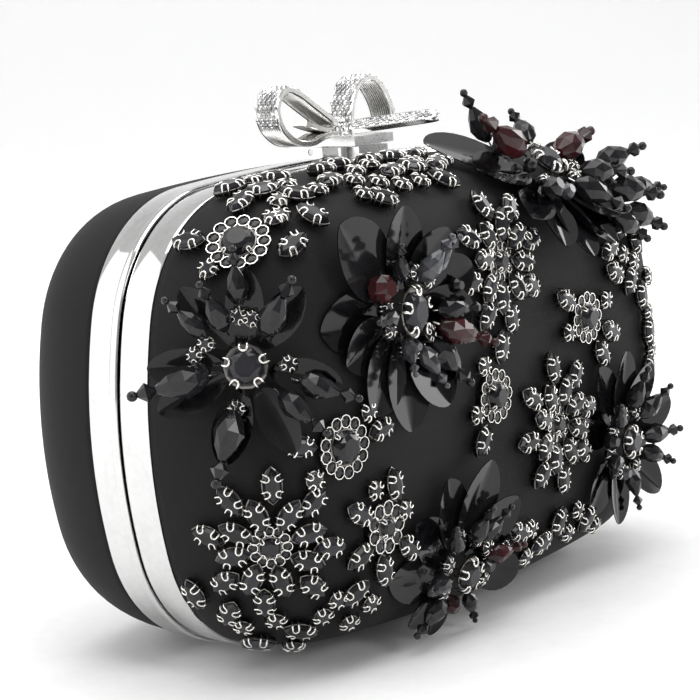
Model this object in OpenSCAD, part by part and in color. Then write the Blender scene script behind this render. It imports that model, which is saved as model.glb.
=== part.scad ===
// Hard-shell evening bag: two domed halves in polished frames, hinged along
// the bottom, with a bow clasp on top and beaded flowers on the front dome.
// The origin is the middle of the flat foot, in the plane where the halves meet.
// +X runs to the right seen from the front, the front faces -Y, and +Z is up.

/* [Body] */
// Width across the frames
body_w = 179; // [172:1:186]
// Height of the frame outline before the foot is cut flat
body_h = 110; // [106:1:114]
// Radius of the four rounded corners
corner_r = 34.5; // [32:0.5:36]
// Half angle swept by the bowed left and right sides
side_arc = 13.7; // [12:0.1:15]
// Half angle swept by the bowed top and bottom
top_arc = 5.3; // [4.6:0.1:6]
// Depth cut off the bottom arc so that the bag stands flat
foot_cut = 0.4; // [0.2:0.1:0.6]
// How far each dome stands out from its frame
dome_depth = 34; // [30:1:38]
// How squarely the dome's face meets its sides
dome_square = 8; // [6:0.5:10]
// How quickly the dome's side turns over into its face
dome_turn = 1.9; // [1.6:0.1:2.2]

/* [Frames] */
// Depth of the rear frame's band
rear_band = 9; // [8:0.5:10]
// Depth of the front frame's band
front_band = 8.5; // [7.5:0.5:9.5]
// Thickness of the bands
band_wall = 1.4; // [1.2:0.1:1.8]
// Clear gap between the two frames when the bag is shut
split_gap = 0.6; // [0.5:0.1:0.8]
// How far the rear frame's rolled lip stands proud
lip_rise = 0.5; // [0.3:0.1:0.6]
// Width of the flange that carries the shell
flange_w = 3.6; // [3:0.2:4]

/* [Skins] */
// Thickness of the satin with its backing
satin_t = 0.5; // [0.4:0.1:0.7]
// Thickness of the moulded shell
shell_t = 1.6; // [1.4:0.1:2]
// Thickness of the lining card with its cloth
lining_t = 0.8; // [0.6:0.1:1]
// Step from the face of the band down to the satin
satin_step = 0.5; // [0.4:0.1:0.8]

/* [Hinge] */
// Length of the knuckled hinge
hinge_len = 60; // [50:2:70]
// Number of knuckles
knuckles = 5; // [3:2:7]
// Radius of the knuckles
knuckle_r = 1.4; // [1.3:0.05:1.45]
// Radius of the hinge pin
hinge_pin_r = 0.7; // [0.6:0.05:0.8]

/* [Clasp] */
// Where the clasp sits along the top
clasp_x = -2; // [-4:0.5:4]
// Width of the clasp plate
clasp_w = 15.5; // [13:0.5:18]
// Thickness of the clasp plate
clasp_t = 2.2; // [1.8:0.1:2.6]
// Height of the clasp bracket above the frame
bracket_h = 2.6; // [2.4:0.1:3]
// Radius of the clasp pin
clasp_pin_r = 0.8; // [0.7:0.05:0.9]
// Width of the bow's ribbon
ribbon_w = 7; // [6:0.5:8]
// Thickness of the bow's ribbon
ribbon_t = 1.4; // [1.2:0.1:1.6]

/* [Beadwork] */
// Length of a navette stone's setting
navette_l = 8.4; // [7.6:0.2:9]
// Width of a navette stone's setting
navette_w = 4.6; // [4:0.2:5]
// Diameter of a small round stone's setting
round_d = 4.2; // [3.8:0.2:4.6]
// Height of a setting's metal cup
cup_h = 1.3; // [1:0.1:1.6]
// Length of a large leaf sequin
leaf_l = 16; // [14:0.5:18]
// Width of a large leaf sequin
leaf_w = 9; // [8:0.5:10]
// Thickness of a leaf sequin
leaf_t = 0.7; // [0.5:0.1:0.9]
// Angle at which the leaf sequins rise from the satin
leaf_rise = 18; // [12:1:24]
// Length of a faceted drop bead
drop_l = 9; // [8:0.5:10]
// Widest diameter of a faceted drop bead
drop_d = 5.4; // [4.8:0.2:6]

/* [Hidden] */
eps = 0.01;
fine = 48;                          // facets on round pieces
glue = 0.05;                        // gap left for glue between skins
running = 0.05;                     // radial clearance of pins in their bores
half_w = body_w / 2;
half_h = body_h / 2;
mid_z = half_h - foot_cut;          // height of the outline's centre above the foot

// The side and top arcs that meet a corner of corner_r without a kink
side_rest = half_w - corner_r * (cos(side_arc) - sin(top_arc));
top_rest = half_h - corner_r * (cos(top_arc) - sin(side_arc));
arc_det = (1 - cos(side_arc)) * (1 - cos(top_arc)) - sin(top_arc) * sin(side_arc);
side_r = (side_rest * (1 - cos(top_arc)) - sin(top_arc) * top_rest) / arc_det;
top_r = ((1 - cos(side_arc)) * top_rest - sin(side_arc) * side_rest) / arc_det;
side_c = [half_w - side_r, 0];
corner_c = side_c + (side_r - corner_r) * [cos(side_arc), sin(side_arc)];
top_c = [0, half_h - top_r];

hinge_z = knuckle_r + 0.1;          // height of the hinge axis
hinge_clear_r = 2.1;                // round space cut for the knuckles
hinge_clear_l = 90;
leaf_plate = [1.75, 6.5, 1.0];      // near edge, far edge and thickness of a hinge leaf
knuckle_gap = 0.15;

clasp_base_z = body_h - foot_cut + 0.02;     // just clear of the frames' top
clasp_plate_z = clasp_base_z + bracket_h + 0.3;
bracket_y = 2.6;                    // clear of the rear frame's lip
clasp_pin_y = 6.2;
clasp_pin_z = clasp_base_z + 1.55;
clasp_ear_w = 2.4;
clasp_ear_r = 1.5;
plate_front_y = 1 - front_band;
keeper_w = 11.5;
keeper_h = 2.5;
magnet_r = 2.2;
magnet_h = 1.2;
magnet_y = 4 - front_band;
knot_x = clasp_x - 5;
bow_y = 0.5;
bow_z = clasp_plate_z + clasp_t;

// ---- Outline and dome ----

function arc(c, r, from, to, n) = [for (i = [0:n - 1]) let (t = from + (to - from) * i / n)
    c + r * [cos(t), sin(t)]];

// One quarter of the outline, moved inwards by d, from the right side to the top
function quarter(d) = concat(arc(side_c, side_r - d, 0, side_arc, 3),
    arc(corner_c, corner_r - d, side_arc, 90 - top_arc, 10),
    arc(top_c, top_r - d, 90 - top_arc, 90, 4));

function turned(points, sx, sz) = [for (p = points) [p.x * sx, p.y * sz]];
function backwards(points) = [for (i = [len(points) - 1:-1:0]) points[i]];

// The whole closed outline, moved inwards by d
function outline(d) = let (q = quarter(d), top = [[0, half_h - d]], side = [[half_w - d, 0]],
    rest = [for (i = [1:len(q) - 1]) q[i]])
    concat(q, top, backwards(turned(rest, -1, 1)), turned(side, -1, 1),
        turned(rest, -1, -1), turned(top, 1, -1), backwards(turned(rest, 1, -1)));

// Distance from the outline's centre to its edge in direction t
function edge_arc(t) = let (c = abs(cos(t)), s = abs(sin(t)), f = atan2(s, c),
    f_side = atan2(side_r * sin(side_arc), side_c.x + side_r * cos(side_arc)),
    f_top = atan2(top_c.y + top_r * cos(top_arc), top_r * sin(top_arc)))
    f < f_side ? [side_c, side_r] : f < f_top ? [corner_c, corner_r] : [top_c, top_r];
function edge_reach(t) = let (e = edge_arc(t), d = abs(cos(t)) * e[0].x + abs(sin(t)) * e[0].y)
    d + sqrt(d * d - e[0] * e[0] + e[1] * e[1]);

// Scale of the outline through x, z, and how that scale changes with x and z
function gauge(p) = norm([p.x, p.z - mid_z]) / edge_reach(atan2(p.z - mid_z, p.x));
function gauge_slope(p) = let (t = atan2(p.z - mid_z, p.x), e = edge_arc(t), r = edge_reach(t),
    edge = r * [abs(cos(t)), abs(sin(t))], n = (edge - e[0]) / e[1], k = n * edge)
    [sign(cos(t)) * n.x / k, sign(sin(t)) * n.y / k];

// The front dome is where scale^square + (depth out of the frame / dome_depth)^turn = 1
function dome_value(p) = let (u = max(-p.y - front_band, 0.01) / dome_depth)
    pow(gauge(p), dome_square) + pow(u, dome_turn) - 1;
function dome_slope(p) = let (u = max(-p.y - front_band, 0.01) / dome_depth, g = gauge_slope(p),
    k = dome_square * pow(gauge(p), dome_square - 1))
    [k * g.x, -dome_turn / dome_depth * pow(u, dome_turn - 1), k * g.y];
function dome_normal(p) = let (s = dome_slope(p)) s / norm(s);
function settle(p, times = 8) = times == 0 ? p
    : let (s = dome_slope(p)) settle(p - s * dome_value(p) / (s * s), times - 1);

// Directions to the right and up along the dome at p
function dome_right(p) = let (n = dome_normal(p), r = cross([0, 0, 1], n)) r / norm(r);
function dome_up(p) = cross(dome_normal(p), dome_right(p));
// The point of the dome at distance r from anchor, in direction t turned from the right
function dome_step(anchor, r, t) = let (p = settle(anchor))
    settle(p + r * (cos(t) * dome_right(p) + sin(t) * dome_up(p)));

// Puts its children at p with their Z out of the dome and their X along direction v
module on_dome(p, v) {
    n = dome_normal(p);
    x = (v - (v * n) * n) / norm(v - (v * n) * n);
    y = cross(n, x);
    multmatrix([[x.x, y.x, n.x, p.x], [x.y, y.y, n.y, p.y], [x.z, y.z, n.z, p.z], [0, 0, 0, 1]])
        children();
}

// Puts its children at distance r and direction t from anchor, turned by spin from radial
module around(anchor, r, t, spin = 0) {
    a = settle(anchor);
    p = dome_step(anchor, r, t);
    on_dome(p, cos(t + spin) * dome_right(a) + sin(t + spin) * dome_up(a)) children();
}

// Extrudes its 2D children, drawn in X and Z, from y0 to y1
module slab(y0, y1) {
    translate([0, y1, 0]) rotate([90, 0, 0]) linear_extrude(y1 - y0) children();
}

module outline_slab(d, y0, y1) {
    translate([0, 0, mid_z]) slab(y0, y1) polygon(outline(d));
}

// ---- Frames ----

// A band between y0 and y1 with a flange at y1, both measured away from the split
module frame_ring(y0, y1, side, lip) {
    clear_w = body_w + 20;
    intersection() {
        mirror([0, side < 0 ? 1 : 0, 0]) difference() {
            union() {
                outline_slab(0, y0, y1);
                if (lip) outline_slab(-lip_rise, y0 + 0.2, y0 + 2);
                if (lip) outline_slab(-lip_rise / 2, y0, y0 + 2.2);
            }
            outline_slab(band_wall, y0 - 1, y1 - 1.2);
            outline_slab(band_wall + flange_w, y1 - 2, y1 + 1);
            translate([-hinge_clear_l / 2, 0, hinge_z]) rotate([0, 90, 0])
                cylinder(r = hinge_clear_r, h = hinge_clear_l, $fn = fine);
        }
        translate([-clear_w / 2, -50, 0]) cube([clear_w, 100, body_h + 20]);
    }
}

module rear_frame() { color("silver") frame_ring(split_gap / 2, rear_band, 1, true); }
module front_frame() { color("silver") frame_ring(split_gap / 2, front_band, -1, false); }

// ---- Domed skins ----

turn_steps = [0.12, 0.3, 0.5, 0.7, 0.85, 0.95, 0.995];
function dome_scale(u) = pow(1 - pow(u, dome_turn), 1 / dome_square);
function lift(points, s, y, side) = [for (p = points) [p.x * s, side * y, mid_z + p.y * s]];
// Rings of a dome moved inwards by d, from the frame outwards, with its pole last
function dome_rings(d, band, side) = [for (u = turn_steps)
    lift(outline(d), dome_scale(u), band + (dome_depth - d) * u, side)];

// Closed skin between outer rings and inner rings, both from the rim to the pole
module skin(outer, inner, outer_y, inner_y, side) {
    n = len(outer[0]);
    rows = concat(outer, backwards(inner));
    count = len(rows);
    points = concat([for (r = rows) each r], [[0, outer_y, mid_z], [0, inner_y, mid_z]]);
    top = len(outer) - 1;
    pole = count * n;
    quads = [for (i = [0:count - 1]) if (i != top) for (j = [0:n - 1])
        let (k = (i + 1) % count, m = (j + 1) % n) [i * n + j, i * n + m, k * n + m, k * n + j]];
    caps = [for (j = [0:n - 1]) let (m = (j + 1) % n)
        each [[top * n + j, top * n + m, pole], [(top + 1) * n + m, (top + 1) * n + j, pole + 1]]];
    faces = concat(quads, caps);
    polyhedron(points, side < 0 ? faces : [for (f = faces) backwards(f)]);
}

module domed_skin(d0, d1, band, side) {
    rim = band + glue;
    skin(concat([lift(outline(d0), 1, rim, side)], dome_rings(d0, band, side)),
        concat([lift(outline(d1), 1, rim, side)], dome_rings(d1, band, side)),
        side * (band + dome_depth - d0), side * (band + dome_depth - d1), side);
}

// The lining is a tray whose turned rim hides the inside of the frame
module lining(band, side) {
    d0 = band_wall + flange_w + 0.2;
    d1 = d0 + lining_t;
    rim = d0 - 1.5;
    skin(concat([lift(outline(rim), 1, 1, side), lift(outline(rim), 1, 1 + lining_t, side),
            lift(outline(d0), 1, 1 + lining_t, side), lift(outline(d0), 1, band, side)],
            dome_rings(d0, band, side)),
        concat([lift(outline(d1), 1, 1, side), lift(outline(d1), 1, band, side)],
            dome_rings(d1, band, side)),
        side * (band + dome_depth - d0), side * (band + dome_depth - d1), side);
}

module rear_satin() { color("#232323") domed_skin(satin_step, satin_step + satin_t, rear_band, 1); }
module front_satin() { color("#232323") domed_skin(satin_step, satin_step + satin_t, front_band, -1); }
module rear_shell() {
    color("#151515") domed_skin(satin_step + satin_t + glue, satin_step + satin_t + shell_t, rear_band, 1);
}
module front_shell() {
    color("#151515") domed_skin(satin_step + satin_t + glue, satin_step + satin_t + shell_t, front_band, -1);
}
module rear_lining() { color("#2b2a2c") lining(rear_band, 1); }
module front_lining() { color("#2b2a2c") lining(front_band, -1); }

// ---- Hinge ----

// A leaf with the knuckles whose number is first, first + 2 and so on
module hinge_leaf(side, first) {
    pitch = hinge_len / knuckles;
    leaf_z = hinge_z + 0.3;             // clear of the frame's bowed wall
    difference() {
        union() {
            mirror([0, side < 0 ? 1 : 0, 0])
                translate([-hinge_len / 2, leaf_plate[0], leaf_z])
                cube([hinge_len, leaf_plate[1] - leaf_plate[0], leaf_plate[2]]);
            for (k = [first:2:knuckles - 1]) {
                x = -hinge_len / 2 + k * pitch + knuckle_gap;
                translate([x, 0, hinge_z]) rotate([0, 90, 0])
                    cylinder(r = knuckle_r, h = pitch - 2 * knuckle_gap, $fn = fine);
                mirror([0, side < 0 ? 1 : 0, 0]) translate([x, 0, leaf_z])
                    cube([pitch - 2 * knuckle_gap, leaf_plate[0] + 0.1, leaf_plate[2]]);
            }
        }
        translate([-hinge_len / 2 - 1, 0, hinge_z]) rotate([0, 90, 0])
            cylinder(r = hinge_pin_r + running, h = hinge_len + 2, $fn = fine);
    }
}

module rear_hinge_leaf() { color("silver") hinge_leaf(1, 0); }
module front_hinge_leaf() { color("silver") hinge_leaf(-1, 1); }
module hinge_pin() {
    color("silver") translate([-hinge_len / 2, 0, hinge_z]) rotate([0, 90, 0])
        cylinder(r = hinge_pin_r, h = hinge_len, $fn = fine);
}

// ---- Clasp ----

module clasp_bore(r, w) {
    translate([clasp_x - w / 2, clasp_pin_y, clasp_pin_z]) rotate([0, 90, 0])
        cylinder(r = r, h = w, $fn = fine);
}

// Block on the rear frame with two ears that carry the clasp pin
module clasp_bracket() {
    inner_w = clasp_w - 2 * clasp_ear_w;
    color("silver") difference() {
        translate([clasp_x - clasp_w / 2, bracket_y, clasp_base_z])
            cube([clasp_w, rear_band - 0.4 - bracket_y, bracket_h]);
        translate([clasp_x - inner_w / 2, clasp_pin_y - clasp_ear_r - 0.4, clasp_base_z - eps])
            cube([inner_w, 2 * clasp_ear_r + 4, bracket_h + 1]);
        clasp_bore(clasp_pin_r + running, clasp_w + 2);
    }
}

module clasp_pin() { color("silver") clasp_bore(clasp_pin_r, clasp_w - 0.4); }

// Lever plate over both frames, with a knuckle that turns between the bracket's ears
module clasp_plate() {
    knuckle_w = clasp_w - 2 * clasp_ear_w - 0.6;
    plate_knuckle_r = clasp_ear_r - 0.1;
    color("silver") difference() {
        union() {
            translate([clasp_x - clasp_w / 2, plate_front_y, clasp_plate_z])
                cube([clasp_w, clasp_pin_y - plate_front_y, clasp_t]);
            clasp_bore(plate_knuckle_r, knuckle_w);
            translate([clasp_x - knuckle_w / 2, clasp_pin_y - plate_knuckle_r, clasp_pin_z])
                cube([knuckle_w, plate_knuckle_r, clasp_plate_z - clasp_pin_z + eps]);
        }
        clasp_bore(clasp_pin_r + running, clasp_w + 2);
        translate([clasp_x, magnet_y, clasp_plate_z - 1])
            cylinder(r = magnet_r + glue, h = 1 + magnet_h + glue, $fn = fine);
    }
}

// Polished keeper bar with a guide post at each end, on the front frame
module clasp_keeper() {
    color("silver") {
        translate([clasp_x - keeper_w / 2, magnet_y - 2.6, clasp_base_z])
            cube([keeper_w, 5.2, keeper_h]);
        for (s = [-1, 1]) translate([clasp_x + s * (keeper_w / 2 + 1.4), magnet_y + 1.5, clasp_base_z])
            cylinder(r = 1.05, h = keeper_h, $fn = fine);
    }
}

// Disc magnet let into the underside of the plate, above the keeper
module clasp_magnet() {
    color("dimgray") translate([clasp_x, magnet_y, clasp_plate_z])
        cylinder(r = magnet_r, h = magnet_h, $fn = fine);
}

// ---- Bow ----

// Smooth curve through points, and the same curve moved sideways by d
function between(a, b, c, d, t) = 0.5 * (2 * b + (c - a) * t + (2 * a - 5 * b + 4 * c - d) * t * t
    + (3 * b - a - 3 * c + d) * t * t * t);
function smooth(p, n = 5) = let (last = len(p) - 1) concat([for (i = [0:last - 1])
    each [for (k = [0:n - 1]) between(p[max(i - 1, 0)], p[i], p[i + 1], p[min(i + 2, last)], k / n)]],
    [p[last]]);
function beside(p, d) = [for (i = [0:len(p) - 1])
    let (v = p[min(i + 1, len(p) - 1)] - p[max(i - 1, 0)]) p[i] + d * [-v.y, v.x] / norm(v)];

// A ribbon of the bow: the curve, in X and Z from the knot's foot, carried across the width
module ribbon(curve, w = ribbon_w, t = ribbon_t) {
    c = smooth(curve);
    translate([knot_x, bow_y, bow_z]) slab(-w / 2, w / 2)
        polygon(concat(beside(c, t / 2), backwards(beside(c, -t / 2))));
}

left_loop = [[-2.8, 3.2], [-9.5, 7], [-17, 11.2], [-21.8, 12], [-24.8, 8.2], [-23.4, 3.4], [-18.8, 0],
    [-12.8, -0.8], [-7, 0.6], [-2.3, 0.8]];
right_loop = [[3, 2], [3.4, 6.5], [6.2, 11.6], [11, 13.4], [15.4, 11.4], [19, 6.6], [20.4, 1.8]];
left_tail = [[-2.3, 1.9], [-6, 2], [-10, 3], [-13.5, 4]];
left_tail_w = 4.6;
left_tail_t = 0.5;
tail_turn = -38;
tail_root = 4;
tail_l = 25;
tail_rise = 4;
tail_lean = 16;                     // rolled towards the front
tail_lift = 1.2;

module bow_left_loop() { color("gainsboro") ribbon(left_loop); }
module bow_right_loop() { color("gainsboro") ribbon(right_loop); }
module bow_left_tail() { color("gainsboro") ribbon(left_tail, left_tail_w, left_tail_t); }
module bow_knot() {
    color("gainsboro") translate([knot_x, bow_y, bow_z]) difference() {
        translate([-2.1, -3.8, 0]) cube([4.2, 7.6, 4]);
        translate([-1, -5, -eps]) cube([2, 10, 0.3]);
    }
}
// Flat tail that runs out over the front dome, with a blunt tip
module bow_right_tail() {
    color("gainsboro") translate([knot_x + 2.2, bow_y, bow_z + tail_lift]) rotate([0, 0, tail_turn])
        rotate([0, -tail_rise, 0]) rotate([tail_lean, 0, 0]) slab(-ribbon_w / 2, ribbon_w / 2)
        polygon([[tail_root, -0.2], [tail_l - 1, -0.2], [tail_l, 0.5], [tail_l, ribbon_t - 0.5],
            [tail_l - 1, ribbon_t - 0.2], [tail_root, ribbon_t - 0.2]]);
}

// ---- Stones, beads and sequins ----

// Pointed oval l long and w wide
module pointed_oval(l, w) {
    r = (l * l + w * w) / (4 * w);
    intersection() {
        translate([0, r - w / 2]) circle(r = r, $fn = fine);
        translate([0, w / 2 - r]) circle(r = r, $fn = fine);
    }
}

module navette_cup(l = navette_l, w = navette_w) { linear_extrude(cup_h) pointed_oval(l, w); }
module navette_stone(l = navette_l, w = navette_w) {
    translate([0, 0, cup_h]) linear_extrude(1.2) pointed_oval(l - 0.8, w - 0.6);
    translate([0, 0, cup_h + 1.2]) linear_extrude(0.7) pointed_oval(l - 2.6, w - 1.8);
}
module round_cup(d = round_d) { cylinder(d1 = d * 0.7, d2 = d, h = cup_h, $fn = fine); }
module round_stone(d = round_d) {
    translate([0, 0, cup_h]) cylinder(d = d * 0.9, h = d * 0.2, $fn = fine);
    translate([0, 0, cup_h + d * 0.2]) cylinder(d1 = d * 0.9, d2 = d * 0.5, h = d * 0.18, $fn = fine);
}

// Leaf-shaped sequin that starts at the origin and rises along X
module leaf(l = leaf_l, w = leaf_w, rise = leaf_rise) {
    rotate([0, -rise, 0]) translate([l / 2, 0, 0]) linear_extrude(leaf_t) pointed_oval(l, w);
}

// Faceted drop bead on a wire along X, with a seed bead at its tip
module drop(l = drop_l, d = drop_d) {
    rotate([0, 90, 0]) {
        cylinder(r = 0.4, h = l + 1.2, $fn = fine);
        cylinder(d1 = 1.2, d2 = d, h = l * 0.4, $fn = fine);
        translate([0, 0, l * 0.4]) cylinder(d1 = d, d2 = 1.2, h = l * 0.6, $fn = fine);
        translate([0, 0, l + 1]) sphere(r = 1, $fn = fine);
    }
}

// ---- Beadwork layouts: anchors are points near the dome, rings are [count, radius, first angle] ----

star_at = [-82, -32, 73];
great_at = [-43.5, -42, 78];
crown_at = [26, -36, 104];
foot_at = [-27, -41, 16.5];
side_at = [46, -42, 32.5];
daisy_at = [-81, -33, 33];
upper_spray_at = [-4, -42, 84.5];
lower_spray_at = [17, -42, 42];
sun_brooch_at = [-75, -25, 97];
ring_brooch_at = [-65, -41, 52];
oval_brooch_at = [-9, -42, 53.5];
high_brooch_at = [33, -42, 66];
low_brooch_at = [-53.5, -42, 32];

// Each flower's leaves as [direction, length], and its drop beads as [direction, distance]
star_leaves = [[15, 16], [75, 16], [125, 15], [178, 17], [235, 14], [335, 15]];
star_drops = [[45, 5], [105, 5], [150, 5], [200, 5], [258, 5], [300, 5]];
great_leaves = [[5, 17], [40, 17], [72, 17], [105, 18], [150, 18], [187, 17], [240, 18], [275, 18],
    [318, 17]];
great_drops = [[22, 6], [56, 6], [88, 6], [128, 6], [212, 6], [258, 6], [296, 7], [340, 6]];
crown_leaves = [[160, 17], [200, 16], [235, 16], [270, 18], [300, 18], [20, 15], [345, 15]];
crown_drops = [[0, 6], [38, 6], [70, 6], [105, 6], [140, 6], [180, 6], [218, 7], [318, 7]];
foot_leaves = [[70, 17], [112, 17], [150, 15], [30, 15], [350, 14], [205, 14]];
foot_drops = [[50, 5], [90, 6], [132, 5], [10, 5], [180, 5], [225, 5]];
side_leaves = [[60, 16], [110, 16], [160, 15], [20, 16], [230, 15], [320, 16]];
side_drops = [[0, 6], [40, 6], [85, 6], [135, 6], [275, 6], [200, 5]];
drop_rise = 30;
drop_lift = 4.6;

daisy_rings = [[8, 8.2, 15], [8, 13.4, -7]];
upper_rings = [[8, 8.2, 38], [8, 13.8, 13]];
lower_rings = [[8, 8.2, 28], [8, 13.8, 6]];

module leaves(at, list) { for (f = list) around(at, 4, f[0]) leaf(f[1], f[1] * leaf_w / leaf_l); }
module drops(at, list) {
    for (f = list) around(at, f[1], f[0]) translate([0, 0, drop_lift]) rotate([0, -drop_rise, 0]) drop();
}
// Big stone in its cup, standing over the roots of the leaves
module flower_centre(at, d) {
    around(at, 0, 0) {
        cylinder(d = d * 0.4, h = 3, $fn = fine);
        translate([0, 0, 3]) round_cup(d);
        translate([0, 0, 3]) round_stone(d);
    }
}

// A round cup in a flat ring that carries small cups
module cup_ring(d, cups) {
    bead_r = 0.36 * PI * (d + 1.6) / cups;
    round_cup(d);
    difference() {
        cylinder(r = d / 2 + 2 * bead_r, h = 0.9, $fn = fine);
        translate([0, 0, -1]) cylinder(d = d + 0.2, h = 3, $fn = fine);
    }
    for (i = [0:cups - 1]) rotate([0, 0, 360 * i / cups]) translate([d / 2 + bead_r, 0, 0.9])
        cylinder(r = bead_r * 0.9, h = 0.7, $fn = fine);
}

module ring_items(at, rings) {
    for (g = rings) for (i = [0:g[0] - 1]) around(at, g[1], g[2] + 360 * i / g[0]) children();
}
module spray_cups(at, rings, d) {
    around(at, 0, 0) cup_ring(d, 12);
    ring_items(at, rings) navette_cup();
}
module spray_stones(at, rings, d) { around(at, 0, 0) round_stone(d); ring_items(at, rings) navette_stone(); }

// A round stone in a ring of small cups, with navettes and round stones beside it
module brooch_cups(at, d, cups, navettes, rounds) {
    around(at, 0, 0) cup_ring(d, cups);
    for (f = navettes) around(at, f[0], f[1], f[2]) navette_cup();
    for (f = rounds) around(at, f[0], f[1]) round_cup();
}
module brooch_stones(at, d, navettes, rounds) {
    around(at, 0, 0) round_stone(d);
    for (f = navettes) around(at, f[0], f[1], f[2]) navette_stone();
    for (f = rounds) around(at, f[0], f[1]) round_stone();
}

// Navettes and round stones scattered in a cluster: [point near the dome, turn] and points
module cluster(navettes, rounds) {
    color("#2e2e33") {
        for (f = navettes) around(f[0], 0, f[1]) { navette_cup(); navette_stone(); }
        for (f = rounds) around(f, 0, 0) { round_cup(); round_stone(); }
    }
}

module star_flower_leaves() { color("#3a3a3e") leaves(star_at, star_leaves); }
module star_flower_beads() { color("#1c1a20") drops(star_at, star_drops); }
module star_flower_centre() { color("#26262c") flower_centre(star_at, 9); }
module great_flower_leaves() { color("#3a3a3e") leaves(great_at, great_leaves); }
module great_flower_beads() { color("#1c1a20") drops(great_at, great_drops); }
module great_flower_centre() { color("#26262c") flower_centre(great_at, 10); }
module crown_flower_leaves() { color("#3a3a3e") leaves(crown_at, crown_leaves); }
module crown_flower_beads() { color("#1c1a20") drops(crown_at, crown_drops); }
module crown_flower_centre() { color("#26262c") flower_centre(crown_at, 9); }
module foot_flower_leaves() { color("#3a3a3e") leaves(foot_at, foot_leaves); }
module foot_flower_beads() { color("#1c1a20") drops(foot_at, foot_drops); }
module foot_flower_centre() { color("#26262c") flower_centre(foot_at, 8); }
module side_flower_leaves() { color("#3a3a3e") leaves(side_at, side_leaves); }
module side_flower_beads() { color("#1c1a20") drops(side_at, side_drops); }
module side_flower_centre() { color("#26262c") flower_centre(side_at, 8); }

module daisy_cups() { color("silver") spray_cups(daisy_at, daisy_rings, 5); }
module daisy_stones() { color("#2e2e33") spray_stones(daisy_at, daisy_rings, 5); }
module upper_spray_cups() { color("silver") spray_cups(upper_spray_at, upper_rings, 5); }
module upper_spray_stones() { color("#2e2e33") spray_stones(upper_spray_at, upper_rings, 5); }
module lower_spray_cups() { color("silver") spray_cups(lower_spray_at, lower_rings, 5); }
module lower_spray_stones() { color("#2e2e33") spray_stones(lower_spray_at, lower_rings, 5); }

// Brooches: navettes as [distance, direction, turn], round stones as [distance, direction]
sun_navettes = [[11.5, 170, 0], [11.5, 0, 50]];
sun_rounds = [[8.6, 225], [9.5, 45]];
ring_navettes = [[11.5, 170, 0], [11.5, 10, 0]];
ring_rounds = [[10, 320], [10, 40]];
oval_navettes = [[11.5, 75, 0], [11.5, 235, 0]];
oval_rounds = [[9, 120], [9, 200]];
high_navettes = [[11.5, 150, 0], [11.5, 300, 0], [11.5, 335, 0]];
high_rounds = [[9.5, 195], [9.5, 20]];
low_navettes = [[9.5, 70, 30], [9.5, 150, 0], [9.5, 210, 0], [9.5, 265, 20], [9.5, 320, 0]];
low_rounds = [[7, 20], [9.5, 110]];

module sun_brooch_cups() {
    color("silver") brooch_cups(sun_brooch_at, 8, 13, sun_navettes, sun_rounds);
}
module sun_brooch_stones() {
    color("#2e2e33") brooch_stones(sun_brooch_at, 8, sun_navettes, sun_rounds);
}
module ring_brooch_cups() {
    color("silver") brooch_cups(ring_brooch_at, 8, 13, ring_navettes, ring_rounds);
}
module ring_brooch_stones() {
    color("#2e2e33") brooch_stones(ring_brooch_at, 8, ring_navettes, ring_rounds);
}
module oval_brooch_cups() {
    color("silver") brooch_cups(oval_brooch_at, 7, 12, oval_navettes, oval_rounds);
}
module oval_brooch_stones() {
    color("#2e2e33") brooch_stones(oval_brooch_at, 7, oval_navettes, oval_rounds);
}
module high_brooch_cups() {
    color("silver") brooch_cups(high_brooch_at, 7, 12, high_navettes, high_rounds);
}
module high_brooch_stones() {
    color("#2e2e33") brooch_stones(high_brooch_at, 7, high_navettes, high_rounds);
}
module low_brooch_cups() {
    color("silver") brooch_cups(low_brooch_at, 5, 9, low_navettes, low_rounds);
}
module low_brooch_stones() {
    color("#2e2e33") brooch_stones(low_brooch_at, 5, low_navettes, low_rounds);
}

module top_cluster() {
    cluster([[[-41, -18, 108], 20], [[-20, -22, 108], 30], [[-13, -31, 106], -60], [[-6, -21, 108], 0],
        [[-27, -29, 106], 10], [[-36, -38, 101], -20]], [[-32, -23, 107], [-42, -31, 104], [-13, -22, 108],
        [-20, -30, 106], [-36, -31, 105]]);
}
module shoulder_cluster() {
    cluster([[[-61, -12, 105], 60], [[-57, -18, 106], -30], [[-59, -30, 102], -50], [[-64, -20, 104], 70]],
        [[-60, -24, 104], [-54, -24, 105], [-52, -16, 107]]);
}
module edge_column() {
    cluster([[[52, -42, 86], 70], [[45, -42, 80], 20], [[60, -41, 80], 110], [[50, -42, 73], 60],
        [[61, -41, 70], 90]], [[52, -42, 79], [65, -41, 63], [66, -41, 58], [66, -41, 53], [65, -41, 48],
        [63, -41, 43]]);
}
module bottom_left_cluster() {
    cluster([[[-84, -15, 21], 100], [[-72, -20, 8], 0], [[-62, -39, 19], 30]], [[-78, -21, 13.5],
        [-75, -28, 14.5], [-70, -31, 12], [-68, -35, 15], [-66, -38, 17], [-80, -19, 17.5]]);
}
module bottom_right_cluster() {
    cluster([[[-4, -42, 18], 30], [[9, -41, 14], 20], [[15, -42, 18], 60], [[30, -41, 16], 40]],
        [[3, -42, 17], [22, -41, 15]]);
}
// Stones along the right flank
module flank_cluster() {
    cluster([[[82, -20, 85], 60], [[86, -22, 70], 90], [[85, -30, 56], 80], [[86, -20, 44], 100],
        [[80, -22, 26], 60], [[83, -31, 34], 20]], [[84, -26, 78], [87, -24, 63], [86, -24, 50], [85, -27, 40],
        [78, -29, 21]]);
}

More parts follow.
